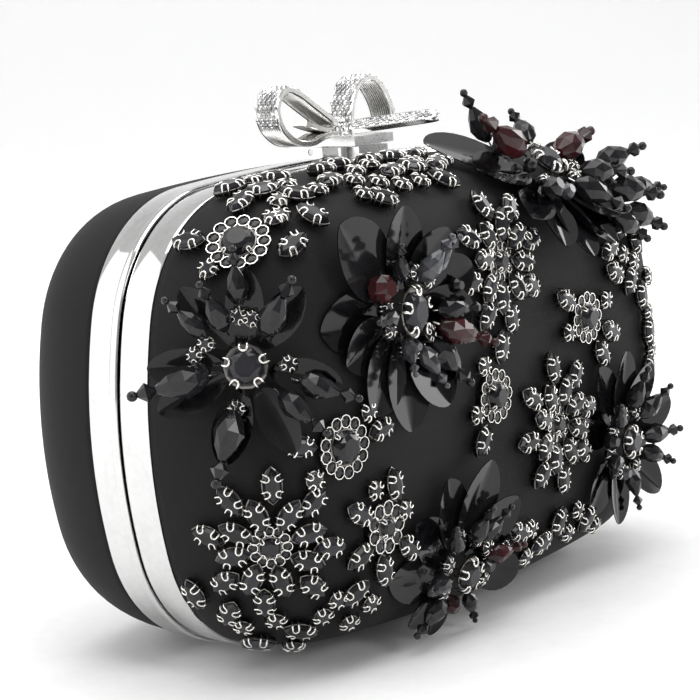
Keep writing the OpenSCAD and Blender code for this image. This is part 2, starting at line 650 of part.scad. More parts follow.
rear_frame();
rear_shell();
rear_satin();
rear_lining();
rear_hinge_leaf();
hinge_pin();
clasp_bracket();
clasp_pin();
front_frame();
front_shell();
front_satin();
front_lining();
front_hinge_leaf();
clasp_keeper();
clasp_plate();
clasp_magnet();
bow_left_loop();
bow_right_loop();
bow_knot();
bow_right_tail();
bow_left_tail();
star_flower_leaves();
star_flower_beads();
star_flower_centre();
great_flower_leaves();
great_flower_beads();
great_flower_centre();
crown_flower_leaves();
crown_flower_beads();
crown_flower_centre();
foot_flower_leaves();
foot_flower_beads();
foot_flower_centre();
side_flower_leaves();
side_flower_beads();
side_flower_centre();
daisy_cups();
daisy_stones();
upper_spray_cups();
upper_spray_stones();
lower_spray_cups();
lower_spray_stones();
sun_brooch_cups();
sun_brooch_stones();
ring_brooch_cups();
ring_brooch_stones();
oval_brooch_cups();
oval_brooch_stones();
high_brooch_cups();
high_brooch_stones();
low_brooch_cups();
low_brooch_stones();
top_cluster();
shoulder_cluster();
edge_column();
bottom_left_cluster();
bottom_right_cluster();
flank_cluster();
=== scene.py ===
import math

import bpy
import numpy as np
from mathutils import Matrix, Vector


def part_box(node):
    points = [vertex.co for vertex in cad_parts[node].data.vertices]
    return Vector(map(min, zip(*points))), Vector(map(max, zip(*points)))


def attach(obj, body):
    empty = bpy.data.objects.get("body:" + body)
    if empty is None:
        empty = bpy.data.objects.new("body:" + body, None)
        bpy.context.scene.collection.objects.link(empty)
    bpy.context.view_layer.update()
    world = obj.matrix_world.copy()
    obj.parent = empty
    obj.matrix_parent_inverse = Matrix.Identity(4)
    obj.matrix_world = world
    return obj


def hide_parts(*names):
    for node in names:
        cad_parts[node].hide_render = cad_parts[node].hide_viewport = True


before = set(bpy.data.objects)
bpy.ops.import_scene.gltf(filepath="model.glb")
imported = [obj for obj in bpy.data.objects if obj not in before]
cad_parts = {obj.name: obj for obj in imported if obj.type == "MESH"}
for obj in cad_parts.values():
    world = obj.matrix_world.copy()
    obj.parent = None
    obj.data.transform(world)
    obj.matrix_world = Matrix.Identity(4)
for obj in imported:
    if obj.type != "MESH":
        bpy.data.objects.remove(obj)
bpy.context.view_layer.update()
mm = 0.001
seed = 7

viewSettings = {"azimuth": -52.435, "elevation": 8.999, "roll": -3.612, "distance": 528.4,
                "height": 54.6, "lens": 109.2, "shift": (-0.028, 0.038)}


def placeCamera(s):
    # The camera looks at a point on the bag's middle line; its axes are right, up and back, then rolled
    az, el, roll = (math.radians(s[k]) for k in ("azimuth", "elevation", "roll"))
    back = np.array([math.sin(az) * math.cos(el), -math.cos(az) * math.cos(el), math.sin(el)])
    right = np.cross(-back, [0, 0, 1])
    right /= np.linalg.norm(right)
    up = np.cross(right, -back)
    columns = np.eye(4)
    columns[:3, 0] = right * math.cos(roll) + up * math.sin(roll)
    columns[:3, 1] = up * math.cos(roll) - right * math.sin(roll)
    columns[:3, 2] = back
    columns[:3, 3] = (np.array([0, 0, s["height"]]) + back * s["distance"]) * mm
    camera = bpy.data.objects.new("camera", bpy.data.cameras.new("camera"))
    bpy.context.scene.collection.objects.link(camera)
    camera.matrix_world = Matrix([list(row) for row in columns])
    camera.data.lens = s["lens"]
    camera.data.shift_x, camera.data.shift_y = s["shift"]
    camera.data.clip_start = 0.01
    bpy.context.scene.camera = camera


placeCamera(viewSettings)

bagMiddle = (0, 0, 0.055)
lightSettings = {
    "overhead": {"at": (0.0, -0.05, 1.1), "size": 1.1, "power": 11.0},
    "rearLeft": {"at": (-1.1, 0.75, 0.35), "size": 2.1, "power": 13.0},
    "front": {"at": (-0.25, -1.35, 0.7), "size": 0.45, "power": 4.5},
    "right": {"at": (1.2, -0.5, 0.5), "size": 0.7, "power": 7.5},
}


def placeLight(name, s):
    # A square soft light that faces the middle of the bag: its Z axis points from the bag to the light
    light = bpy.data.lights.new(name, "AREA")
    light.size = s["size"]
    light.energy = s["power"]
    lamp = bpy.data.objects.new(name, light)
    bpy.context.scene.collection.objects.link(lamp)
    at = np.array(s["at"])
    back = at - bagMiddle
    back /= np.linalg.norm(back)
    side = np.cross([0, 1, 0] if abs(back[2]) > 0.9 else [0, 0, 1], back)
    side /= np.linalg.norm(side)
    place = np.eye(4)
    place[:3, :3] = np.stack([side, np.cross(back, side), back], axis=1)
    place[:3, 3] = at
    lamp.matrix_world = Matrix([list(row) for row in place])


worldSettings = {"dim": (0.24, 0.24, 0.245), "pale": (1, 1, 1), "paleFrom": 0.62, "strength": 0.72}


def makeWorld(s):
    # Pale light from all round that falls off towards the front, for contrast in the metal
    world = bpy.data.worlds.new("studio")
    bpy.context.scene.world = world
    world.use_nodes = True
    tree = world.node_tree
    coords = tree.nodes.new("ShaderNodeTexCoord")
    apart = tree.nodes.new("ShaderNodeSeparateXYZ")
    ramp = tree.nodes.new("ShaderNodeValToRGB")
    ramp.color_ramp.elements[0].position = 0.0
    ramp.color_ramp.elements[0].color = (*s["dim"], 1)
    ramp.color_ramp.elements[1].position = s["paleFrom"]
    ramp.color_ramp.elements[1].color = (*s["pale"], 1)
    lift = tree.nodes.new("ShaderNodeMath")
    lift.operation = "MULTIPLY_ADD"
    lift.inputs[1].default_value = 0.5
    lift.inputs[2].default_value = 0.5
    tree.links.new(coords.outputs["Generated"], apart.inputs[0])
    tree.links.new(apart.outputs["Y"], lift.inputs[0])
    tree.links.new(lift.outputs[0], ramp.inputs[0])
    tree.links.new(ramp.outputs[0], tree.nodes["Background"].inputs["Color"])
    tree.nodes["Background"].inputs["Strength"].default_value = s["strength"]


for lightName, lightValues in lightSettings.items():
    placeLight(lightName, lightValues)
makeWorld(worldSettings)
bpy.context.scene.view_settings.view_transform = "Standard"
print("camera and light placed")


def addNode(tree, kind, values=None, **settings):
    # A node with its settings, and its inputs either set to a value or linked to a socket
    node = tree.nodes.new(kind)
    for key, value in settings.items():
        setattr(node, key, value)
    for key, value in (values or {}).items():
        if isinstance(value, bpy.types.NodeSocket):
            tree.links.new(value, node.inputs[key])
        else:
            node.inputs[key].default_value = value
    return node


def blank(name, inputs, outputs):
    # An empty node group with named inputs and outputs
    group = bpy.data.node_groups.new(name, "ShaderNodeTree")
    for label, kind, value in inputs:
        socket = group.interface.new_socket(label, in_out="INPUT", socket_type="NodeSocket" + kind)
        if value is not None:
            socket.default_value = value
    for label, kind in outputs:
        group.interface.new_socket(label, in_out="OUTPUT", socket_type="NodeSocket" + kind)
    return group, addNode(group, "NodeGroupInput"), addNode(group, "NodeGroupOutput")


def makeGrain():
    # Fine noise over coarse noise: a value round 0.5 and a slightly roughened normal
    group, given, result = blank("grain", [("Vector", "Vector", None), ("Scale", "Float", 400.0),
                                           ("Strength", "Float", 0.1)],
                                 [("Value", "Float"), ("Normal", "Vector")])
    fine = addNode(group, "ShaderNodeTexNoise", {"Vector": given.outputs["Vector"],
                                                 "Scale": given.outputs["Scale"], "Detail": 6.0})
    coarse = addNode(group, "ShaderNodeTexNoise", {"Vector": given.outputs["Vector"], "Scale": 60.0,
                                                   "Detail": 2.0})
    both = addNode(group, "ShaderNodeMath", {0: fine.outputs["Fac"], 1: coarse.outputs["Fac"]},
                   operation="ADD")
    half = addNode(group, "ShaderNodeMath", {0: both.outputs[0], 1: 0.5}, operation="MULTIPLY")
    bump = addNode(group, "ShaderNodeBump", {"Strength": given.outputs["Strength"],
                                             "Distance": 0.0001, "Height": half.outputs[0]})
    group.links.new(half.outputs[0], result.inputs["Value"])
    group.links.new(bump.outputs["Normal"], result.inputs["Normal"])
    return group


def makeWeave():
    # Warp and weft ribs at right angles, each hidden under the other in turn
    group, given, result = blank("weave", [("Vector", "Vector", None), ("Threads", "Float", 900.0),
                                           ("Strength", "Float", 0.3)],
                                 [("Height", "Float"), ("Normal", "Vector")])
    ribs = [addNode(group, "ShaderNodeTexWave", {"Vector": given.outputs["Vector"],
                                                 "Scale": given.outputs["Threads"],
                                                 "Distortion": 0.4, "Detail": 1.0},
                    wave_type="BANDS", bands_direction=d) for d in "XY"]
    over = addNode(group, "ShaderNodeMath", {0: ribs[0].outputs["Fac"], 1: ribs[1].outputs["Fac"]},
                   operation="MAXIMUM")
    slub = addNode(group, "ShaderNodeTexNoise", {"Vector": given.outputs["Vector"], "Scale": 120.0,
                                                 "Detail": 3.0})
    total = addNode(group, "ShaderNodeMath", {0: slub.outputs["Fac"], 1: 0.6, 2: over.outputs[0]},
                    operation="MULTIPLY_ADD")
    bump = addNode(group, "ShaderNodeBump", {"Strength": given.outputs["Strength"],
                                             "Distance": 0.0001, "Height": total.outputs[0]})
    group.links.new(total.outputs[0], result.inputs["Height"])
    group.links.new(bump.outputs["Normal"], result.inputs["Normal"])
    return group


def makeConvexEdges():
    # A mask on edges where the surface is convex, broken up with noise; the metals paint edge highlights
    # with it
    group, given, result = blank("convexEdges", [("Vector", "Vector", None), ("Amount", "Float", 0.5)],
                                 [("Mask", "Float")])
    shape = addNode(group, "ShaderNodeNewGeometry")
    edge = addNode(group, "ShaderNodeMapRange", {"Value": shape.outputs["Pointiness"],
                                                 "From Min": 0.5, "From Max": 0.56})
    noise = addNode(group, "ShaderNodeTexNoise", {"Vector": given.outputs["Vector"],
                                                  "Scale": 900.0, "Detail": 3.0})
    broken = addNode(group, "ShaderNodeMath", {0: edge.outputs[0], 1: noise.outputs["Fac"]},
                     operation="MULTIPLY")
    scaled = addNode(group, "ShaderNodeMath", {0: broken.outputs[0], 1: given.outputs["Amount"]},
                     operation="MULTIPLY")
    group.links.new(scaled.outputs[0], result.inputs["Mask"])
    return group


def makeDust():
    # A little dust where the surface looks up
    group, given, result = blank("dust", [("Vector", "Vector", None), ("Amount", "Float", 0.1)],
                                 [("Mask", "Float")])
    shape = addNode(group, "ShaderNodeNewGeometry")
    apart = addNode(group, "ShaderNodeSeparateXYZ", {0: shape.outputs["Normal"]})
    upward = addNode(group, "ShaderNodeMath", {0: apart.outputs["Z"], 1: 0.0}, operation="MAXIMUM")
    specks = addNode(group, "ShaderNodeTexNoise", {"Vector": given.outputs["Vector"],
                                                   "Scale": 700.0, "Detail": 4.0})
    both = addNode(group, "ShaderNodeMath", {0: upward.outputs[0], 1: specks.outputs["Fac"]},
                   operation="MULTIPLY")
    scaled = addNode(group, "ShaderNodeMath", {0: both.outputs[0], 1: given.outputs["Amount"]},
                     operation="MULTIPLY")
    group.links.new(scaled.outputs[0], result.inputs["Mask"])
    return group


grain = makeGrain()
weave = makeWeave()
convexEdges = makeConvexEdges()
dust = makeDust()


class Finish:
    # A material being made: its tree, its shader and the coordinates that its effects use
    def __init__(self, name, coords="Object", **constants):
        # Constants go on the shader's own inputs, with _ for a space in their names
        self.material = bpy.data.materials.new(name)
        self.material.use_nodes = True
        self.tree = self.material.node_tree
        self.shader = self.tree.nodes["Principled BSDF"]
        self.place = addNode(self.tree, "ShaderNodeTexCoord").outputs[coords]
        for key, value in constants.items():
            self.shader.inputs[key.replace("_", " ")].default_value = value

    def effect(self, group, **values):
        # A shared effect placed in this material with its own values
        node = addNode(self.tree, "ShaderNodeGroup", node_tree=group)
        self.tree.links.new(self.place, node.inputs["Vector"])
        for key, value in values.items():
            node.inputs[key].default_value = value
        return node

    def ramp(self, source, stops):
        # Colours along a value, as (place, colour)
        node = addNode(self.tree, "ShaderNodeValToRGB", {0: source})
        elements = node.color_ramp.elements
        while len(elements) < len(stops):
            elements.new(0.5)
        for element, (place, colour) in zip(elements, stops):
            element.position = place
            element.color = (*colour, 1)
        return node.outputs[0]

    def spread(self, source, low, high):
        # A value from 0 to 1 spread from low to high
        return addNode(self.tree, "ShaderNodeMapRange", {"Value": source, "To Min": low,
                                                         "To Max": high}).outputs[0]

    def mixed(self, mask, under, over):
        # One colour over another by a mask
        node = addNode(self.tree, "ShaderNodeMix", {0: mask}, data_type="RGBA")
        for key, value in ((6, under), (7, over)):
            if isinstance(value, bpy.types.NodeSocket):
                self.tree.links.new(value, node.inputs[key])
            else:
                node.inputs[key].default_value = (*value, 1)
        return node.outputs[2]

    def attribute(self, name):
        # A value kept on each face of the mesh
        return addNode(self.tree, "ShaderNodeAttribute", attribute_name=name).outputs["Fac"]

    def use(self, **links):
        # Links the shader's inputs and gives the finished material
        for key, socket in links.items():
            self.tree.links.new(socket, self.shader.inputs[key.replace("_", " ")])
        return self.material


metalSettings = {
    "polishedFrame": {"dark": (0.6, 0.6, 0.595), "light": (0.7, 0.7, 0.695), "smooth": (0.04, 0.1)},
    "claspMetal": {"dark": (0.78, 0.78, 0.78), "light": (0.90, 0.90, 0.89), "smooth": (0.22, 0.34)},
    "bowMetal": {"dark": (0.86, 0.85, 0.83), "light": (0.97, 0.96, 0.94), "smooth": (0.14, 0.24)},
    "cupMetal": {"dark": (0.62, 0.60, 0.56), "light": (0.93, 0.91, 0.87), "smooth": (0.1, 0.22)},
    # The groove metal is darker to paint shade in the bow's grooves
    "grooveShadeMetal": {"dark": (0.45, 0.45, 0.44), "light": (0.72, 0.715, 0.7), "smooth": (0.16, 0.28)},
    "cupShadow": {"dark": (0.03, 0.029, 0.027), "light": (0.2, 0.19, 0.18), "smooth": (0.14, 0.3)},
    "hingeSteel": {"dark": (0.40, 0.40, 0.41), "light": (0.62, 0.62, 0.63), "smooth": (0.18, 0.34)},
    "magnetSteel": {"dark": (0.22, 0.22, 0.23), "light": (0.42, 0.42, 0.43), "smooth": (0.2, 0.38)},
}


def makeMetal(name, s):
    # Plated metal: fine grain in its colour and polish, brighter edges painted as highlights and a trace of
    # dust
    finish = Finish(name, Metallic=1.0)
    fine = finish.effect(grain, Scale=700.0, Strength=0.01)
    edgeMask = finish.effect(convexEdges, Amount=0.5)
    dusty = finish.effect(dust, Amount=0.03)
    colour = finish.ramp(fine.outputs["Value"], [(0.3, s["dark"]), (0.6, s["light"])])
    # Convex edges take the metal's light colour: a painted edge highlight
    colour = finish.mixed(edgeMask.outputs["Mask"], colour, s["light"])
    colour = finish.mixed(dusty.outputs["Mask"], colour, (0.6, 0.59, 0.57))
    return finish.use(Base_Color=colour, Roughness=finish.spread(fine.outputs["Value"], *s["smooth"]),
                      Normal=fine.outputs["Normal"])


clothSettings = {
    "blackSatin": {"dark": (0.0065, 0.0065, 0.0068), "light": (0.0135, 0.0133, 0.0138), "threads": 520.0,
                   "rough": (0.5, 0.7), "sheen": 0.025, "bump": 0.3},
    "liningCloth": {"dark": (0.012, 0.011, 0.012), "light": (0.04, 0.038, 0.04), "threads": 380.0,
                    "rough": (0.35, 0.6), "sheen": 0.3, "bump": 0.5},
}


def makeCloth(name, s):
    # Woven cloth: thread ribs in its colour, polish and normal, a soft sheen and a trace of dust
    finish = Finish(name, coords="UV", Sheen_Weight=s["sheen"], Sheen_Roughness=0.45,
                    Specular_IOR_Level=0.12)
    woven = finish.effect(weave, Threads=s["threads"], Strength=s["bump"])
    dusty = finish.effect(dust, Amount=0.02)
    colour = finish.ramp(woven.outputs["Height"], [(0.3, s["dark"]), (1.0, s["light"])])
    colour = finish.mixed(dusty.outputs["Mask"], colour, (0.11, 0.11, 0.11))
    return finish.use(Base_Color=colour, Roughness=finish.spread(woven.outputs["Height"], *s["rough"]),
                      Normal=woven.outputs["Normal"])


def makeMoulded():
    # Moulded black plastic with a fine texture
    finish = Finish("mouldedShell", Specular_IOR_Level=0.4)
    fine = finish.effect(grain, Scale=1500.0, Strength=0.5)
    colour = finish.ramp(fine.outputs["Value"], [(0.3, (0.008, 0.008, 0.009)),
                                                 (0.7, (0.02, 0.02, 0.021))])
    return finish.use(Base_Color=colour, Roughness=finish.spread(fine.outputs["Value"], 0.4, 0.6),
                      Normal=fine.outputs["Normal"])


gemSettings = {
    "darkStone": {"dark": (0.002, 0.002, 0.003), "light": (0.02, 0.02, 0.025),
                  "smooth": (0.05, 0.14), "coat": 0.0, "index": 1.42, "metal": 0.0},
    "jetBead": {"dark": (0.001, 0.001, 0.0015), "light": (0.008, 0.008, 0.01),
                "smooth": (0.03, 0.08), "coat": 0.1, "index": 1.38, "metal": 0.0},
    "wineBead": {"dark": (0.004, 0.001, 0.001), "light": (0.05, 0.004, 0.006),
                 "smooth": (0.03, 0.08), "coat": 0.1, "index": 1.38, "metal": 0.0},
    "smokyBead": {"dark": (0.004, 0.004, 0.005), "light": (0.06, 0.062, 0.07),
                  "smooth": (0.03, 0.1), "coat": 0.3, "index": 1.45, "metal": 0.0},
    "leafSequin": {"dark": (0.001, 0.001, 0.0015), "light": (0.012, 0.012, 0.013),
                   "smooth": (0.06, 0.13), "coat": 0.0, "index": 1.38, "metal": 0.0},
    "crystal": {"dark": (0.3, 0.3, 0.31), "light": (0.98, 0.98, 0.97),
                "smooth": (0.02, 0.08), "coat": 1.0, "index": 1.7, "metal": 0.75},
}


def makeGem(name, s):
    # Cut glass or foil: each stone has its own depth of colour, with a faint cloud and a hard coat
    finish = Finish(name, Metallic=s["metal"], IOR=s["index"], Coat_Weight=s["coat"], Coat_Roughness=0.03)
    fine = finish.effect(grain, Scale=300.0, Strength=0.0015)
    tint = finish.attribute("tint")
    both = addNode(finish.tree, "ShaderNodeMath", {0: tint, 1: 0.6, 2: fine.outputs["Value"]},
                   operation="MULTIPLY_ADD").outputs[0]
    colour = finish.ramp(both, [(0.6, s["dark"]), (1.0, s["light"])])
    edgeMask = finish.effect(convexEdges, Amount=0.1)
    # Convex edges turn a pale grey
    colour = finish.mixed(edgeMask.outputs["Mask"], colour, (0.12, 0.12, 0.125))
    return finish.use(Base_Color=colour, Roughness=finish.spread(fine.outputs["Value"], *s["smooth"]),
                      Normal=fine.outputs["Normal"])


def makeFloor():
    # Pale matt board with a faint mottle, lit from within away from the bag
    finish = Finish("paleFloor", Specular_IOR_Level=0.3, Emission_Strength=0.28)
    away = addNode(finish.tree, "ShaderNodeVectorMath", {0: finish.place}, operation="LENGTH")
    glow = finish.ramp(away.outputs["Value"], [(0.12, (0.06, 0.06, 0.06)), (0.55, (1, 1, 1))])
    fine = finish.effect(grain, Scale=300.0, Strength=0.05)
    colour = finish.ramp(fine.outputs["Value"], [(0.3, (0.86, 0.86, 0.86)), (0.7, (0.92, 0.92, 0.92))])
    return finish.use(Base_Color=colour, Roughness=finish.spread(fine.outputs["Value"], 0.45, 0.6),
                      Normal=fine.outputs["Normal"], Emission_Color=glow)


materials = {name: makeMetal(name, s) for name, s in metalSettings.items()}
materials.update({name: makeCloth(name, s) for name, s in clothSettings.items()})
materials.update({name: makeGem(name, s) for name, s in gemSettings.items()})
materials["mouldedShell"] = makeMoulded()
print("materials made")


class Shape:
    # Points, faces as runs of corners, and each face's material, smoothness and tint
    def __init__(self, points, corners, sizes, slot=0, smooth=False, tint=0.5):
        self.points = np.asarray(points, float).reshape(-1, 3)
        self.corners = np.asarray(corners, int).reshape(-1)
        self.sizes = np.asarray(sizes, int).reshape(-1)
        count = len(self.sizes)
        self.slots = np.full(count, slot) if np.isscalar(slot) else np.asarray(slot)
        self.smooth = np.full(count, smooth) if np.isscalar(smooth) else np.asarray(smooth)
        self.tint = np.full(count, tint, float) if np.isscalar(tint) else np.array(tint, float).reshape(-1)


def merge(*shapes):
    # Shapes as one, each shape's corners counted on from the points before it
    starts = np.cumsum([0] + [len(s.points) for s in shapes[:-1]])
    return Shape(np.concatenate([s.points for s in shapes]),
                 np.concatenate([s.corners + start for s, start in zip(shapes, starts)]),
                 np.concatenate([s.sizes for s in shapes]), np.concatenate([s.slots for s in shapes]),
                 np.concatenate([s.smooth for s in shapes]), np.concatenate([s.tint for s in shapes]))


def loft(rings, closed=True, caps=False, slot=0, smooth=True):
    # Quads between rings of points; caps close the first and last rings
    rings = np.asarray(rings, float)
    rows, count = rings.shape[:2]
    i, j = np.meshgrid(np.arange(rows - 1), np.arange(count if closed else count - 1), indexing="ij")
    k = (j + 1) % count
    quads = np.stack([i * count + j, i * count + k, (i + 1) * count + k, (i + 1) * count + j], axis=-1)
    corners, sizes = quads.reshape(-1), np.full(quads[..., 0].size, 4)
    if caps:
        last = (rows - 1) * count + np.arange(count)
        corners = np.concatenate([corners, np.arange(count)[::-1], last])
        sizes = np.concatenate([sizes, [count, count]])
    return Shape(rings, corners, sizes, slot, smooth)


def cutRings(radii, heights, sides, slot=0):
    # Facets: rings of corners, each turned half a step from the last, joined by triangles
    rows = len(radii)
    turn = 2 * np.pi / sides * (np.arange(sides) + 0.5 * (np.arange(rows) % 2)[:, None])
    rings = np.stack([np.cos(turn) * np.array(radii)[:, None], np.sin(turn) * np.array(radii)[:, None],
                      np.repeat(np.array(heights)[:, None], sides, axis=1)], axis=-1)
    i, j = np.meshgrid(np.arange(rows - 1), np.arange(sides), indexing="ij")
    ahead, odd = (j + 1) % sides, i % 2 == 1
    low = [i * sides + j, i * sides + ahead]
    high = [(i + 1) * sides + j, (i + 1) * sides + ahead]
    one = np.stack([low[0], low[1], np.where(odd, high[1], high[0])], axis=-1)
    two = np.stack([np.where(odd, low[0], low[1]), high[1], high[0]], axis=-1)
    triangles = np.concatenate([one.reshape(-1, 3), two.reshape(-1, 3)])
    last = (rows - 1) * sides + np.arange(sides)
    corners = np.concatenate([triangles.reshape(-1), np.arange(sides)[::-1], last])
    return Shape(rings, corners, [3] * len(triangles) + [sides, sides], slot, False)


def tube(path, radius, sides=5, closed=False, slot=0):
    # A round wire along a path: path + radius (cos one + sin two), one and two square to the path
    path = np.asarray(path, float)
    ahead = np.roll(path, -1, axis=0) - np.roll(path, 1, axis=0)
    if not closed:
        ahead[0], ahead[-1] = path[1] - path[0], path[-1] - path[-2]
    ahead /= np.linalg.norm(ahead, axis=1)[:, None]
    guide = np.array([0.12, 0.2, 1.0])
    one = np.cross(ahead, guide)
    one /= np.linalg.norm(one, axis=1)[:, None]
    two = np.cross(ahead, one)
    turn = 2 * np.pi * np.arange(sides) / sides
    rings = path[:, None] + radius * (one[:, None] * np.cos(turn)[:, None]
                                      + two[:, None] * np.sin(turn)[:, None])
    if closed:
        rings = np.concatenate([rings, rings[:1]])
    return loft(rings, caps=not closed, slot=slot)


def shifted(x=0, y=0, z=0):
    # A move along the axes
    m = np.eye(4)
    m[:3, 3] = x, y, z
    return m


def turned(axis, degrees):
    # Rotation about x, y or z
    c, s = math.cos(math.radians(degrees)), math.sin(math.radians(degrees))
    i, j = {"x": (1, 2), "y": (2, 0), "z": (0, 1)}[axis]
    m = np.eye(4)
    m[i, i], m[i, j], m[j, i], m[j, j] = c, -s, s, c
    return m


def scaled(x, y=None, z=None):
    # A scale along the axes, the same along all where only one is given
    return np.diag([x, x if y is None else y, x if z is None else z, 1.0])


def stamp(shape, places, tints=None):
    # The shape once at each place, place @ point, with its own tint
    places = np.asarray(places, float).reshape(-1, 4, 4)
    count, size = len(places), len(shape.points)
    points = np.einsum("kij,pj->kpi", places[:, :3, :3], shape.points) + places[:, None, :3, 3]
    corners = shape.corners[None] + size * np.arange(count)[:, None]
    flips = np.linalg.det(places[:, :3, :3]) < 0
    if flips.any():
        raise ValueError("a place mirrors its shape")
    own = np.random.default_rng(seed + count).random(count) if tints is None else np.asarray(tints)
    tint = np.clip(own[:, None] * 0.8 + shape.tint[None] * 0.4 - 0.1, 0, 1)
    return Shape(points, corners, np.tile(shape.sizes, count), np.tile(shape.slots, count),
                 np.tile(shape.smooth, count), tint)


def speckle(shape, share=1.0):
    # Gives each face its own tint
    shape.tint = np.random.default_rng(seed).random(len(shape.sizes)) * share
    return shape


pieces = []


def makePiece(name, shape, finishes, body, replaces=(), uv=None):
    # One mesh object at the origin, in metres, riding a body
    mesh = bpy.data.meshes.new(name)
    mesh.vertices.add(len(shape.points))
    mesh.vertices.foreach_set("co", (shape.points * mm).astype(np.float32).reshape(-1))
    mesh.loops.add(len(shape.corners))
    mesh.loops.foreach_set("vertex_index", shape.corners.astype(np.int32))
    mesh.polygons.add(len(shape.sizes))
    starts = np.concatenate([[0], np.cumsum(shape.sizes)[:-1]])
    mesh.polygons.foreach_set("loop_start", starts.astype(np.int32))
    mesh.polygons.foreach_set("loop_total", shape.sizes.astype(np.int32))
    for finish in finishes:
        mesh.materials.append(materials[finish])
    mesh.polygons.foreach_set("material_index", shape.slots.astype(np.int32))
    mesh.polygons.foreach_set("use_smooth", shape.smooth.astype(bool))
    mesh.update(calc_edges=True)
    tint = mesh.attributes.new("tint", "FLOAT", "FACE")
    tint.data.foreach_set("value", shape.tint.astype(np.float32))
    if uv is not None:
        layer = mesh.uv_layers.new(name="cloth")
        layer.data.foreach_set("uv", (uv[shape.corners] * mm).astype(np.float32).reshape(-1))
    mesh.validate()
    piece = bpy.data.objects.new(name, mesh)
    bpy.context.scene.collection.objects.link(piece)
    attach(piece, body)
    if replaces:
        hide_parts(*replaces)
    pieces.append(piece)
    return piece


def splitEdges(piece, degrees):
    # Keeps edges sharper than this angle crisp in the shading
    mark = piece.modifiers.new("edges", "EDGE_SPLIT")
    mark.split_angle = math.radians(degrees)


# The outline and the dome, in millimetres as all shapes are until makePiece
bagSettings = {"width": 179, "height": 110, "cornerRadius": 34.5, "sideArc": 13.7, "topArc": 5.3,
               "footCut": 0.4, "domeDepth": 34, "domeSquare": 8, "domeTurn": 1.9, "rearBand": 9,
               "frontBand": 8.5}
halfW, halfH = bagSettings["width"] / 2, bagSettings["height"] / 2
midZ = halfH - bagSettings["footCut"]
depth, square, turnOver = (bagSettings[k] for k in ("domeDepth", "domeSquare", "domeTurn"))
newtonSteps = 8


def solveArcs(s):
    # Radii of the side and top arcs that meet a corner without a kink
    side, top, r = math.radians(s["sideArc"]), math.radians(s["topArc"]), s["cornerRadius"]
    sideRest = halfW - r * (math.cos(side) - math.sin(top))
    topRest = halfH - r * (math.cos(top) - math.sin(side))
    a = np.array([[1 - math.cos(side), math.sin(top)], [math.sin(side), 1 - math.cos(top)]])
    sideR, topR = np.linalg.solve(a, [sideRest, topRest])
    corner = (halfW - sideR + (sideR - r) * math.cos(side), (sideR - r) * math.sin(side))
    return side, top, [((halfW - sideR, 0), sideR), (corner, r), ((0, halfH - topR), topR)]


sideAngle, topAngle, arcs = solveArcs(bagSettings)


def quarterDirections(count):
    # Arc number and direction for points spaced evenly along one quarter of the outline
    spans = [(0, 0, sideAngle), (1, sideAngle, math.pi / 2 - topAngle),
             (2, math.pi / 2 - topAngle, math.pi / 2)]
    lengths = np.array([arcs[k][1] * (b - a) for k, a, b in spans])
    shares = np.maximum(2, np.round(count * lengths / lengths.sum()).astype(int))
    return [(k, a + (b - a) * i / n) for (k, a, b), n in zip(spans, shares) for i in range(n)]


def outline(inset, count=48):
    # The closed outline moved inwards, counter-clockwise from the right, as x and z
    points = np.array([[arcs[k][0][0] + (arcs[k][1] - inset) * math.cos(t),
                        arcs[k][0][1] + (arcs[k][1] - inset) * math.sin(t)]
                       for k, t in quarterDirections(count)])
    top = np.array([[0, halfH - inset]])
    left = points[::-1] * [-1, 1]
    lower = np.concatenate([points[1:] * [-1, -1], top * [1, -1], points[:0:-1] * [1, -1]])
    return np.concatenate([points, top, left, lower])


def ring(inset, y, scale=1.0, count=48):
    # The outline as a ring of points in 3D, never below the floor
    flat = outline(inset, count) * scale
    z = np.maximum(flat[:, 1] + midZ, 0)
    return np.stack([flat[:, 0], np.full(len(flat), float(y)), z], axis=1)


def arcEnds():
    # Directions from the centre to the ends of the corner arc
    (sideX, _), sideR = arcs[0]
    (_, topY), topR = arcs[2]
    first = math.atan2(sideR * math.sin(sideAngle), sideX + sideR * math.cos(sideAngle))
    last = math.atan2(topY + topR * math.cos(topAngle), topR * math.sin(topAngle))
    return first, last


def edgeReach(c, s):
    # Distance from the centre to the outline along (c, s), and the arc met there
    f = np.arctan2(np.abs(s), np.abs(c))
    first, last = arcEnds()
    (cx, cy), r = arcs[0 if f < first else 1 if f < last else 2]
    d = abs(c) * cx + abs(s) * cy
    return d + math.sqrt(d * d - cx * cx - cy * cy + r * r), (cx, cy), r


def domeAt(p):
    # How far p is from the front dome, as value and slope: scale^square + depth^turnOver - 1
    x, z = p[0], p[2] - midZ
    far = max(math.hypot(x, z), 1e-6)
    c, s = x / far, z / far
    reach, centre, r = edgeReach(c, s)
    edge = reach * np.array([abs(c), abs(s)])
    out = (edge - centre) / r
    slope = np.sign([c, s]) * out / (out @ edge)
    g, u = far / reach, max(-p[1] - bagSettings["frontBand"], 0.01) / depth
    k = square * g ** (square - 1)
    value = g ** square + u ** turnOver - 1
    return value, np.array([k * slope[0], -turnOver / depth * u ** (turnOver - 1), k * slope[1]])


def settle(p):
    # The point of the dome near p, in a few Newton steps: p - slope value / slope^2
    p = np.array(p, float)
    for _ in range(newtonSteps):
        value, slope = domeAt(p)
        p = p - slope * value / (slope @ slope)
    return p


def axesAt(p):
    # The dome's outward normal at p, and the directions right and up along it
    normal = domeAt(p)[1]
    normal = normal / np.linalg.norm(normal)
    right = np.cross([0, 0, 1], normal)
    right /= np.linalg.norm(right)
    return normal, right, np.cross(normal, right)


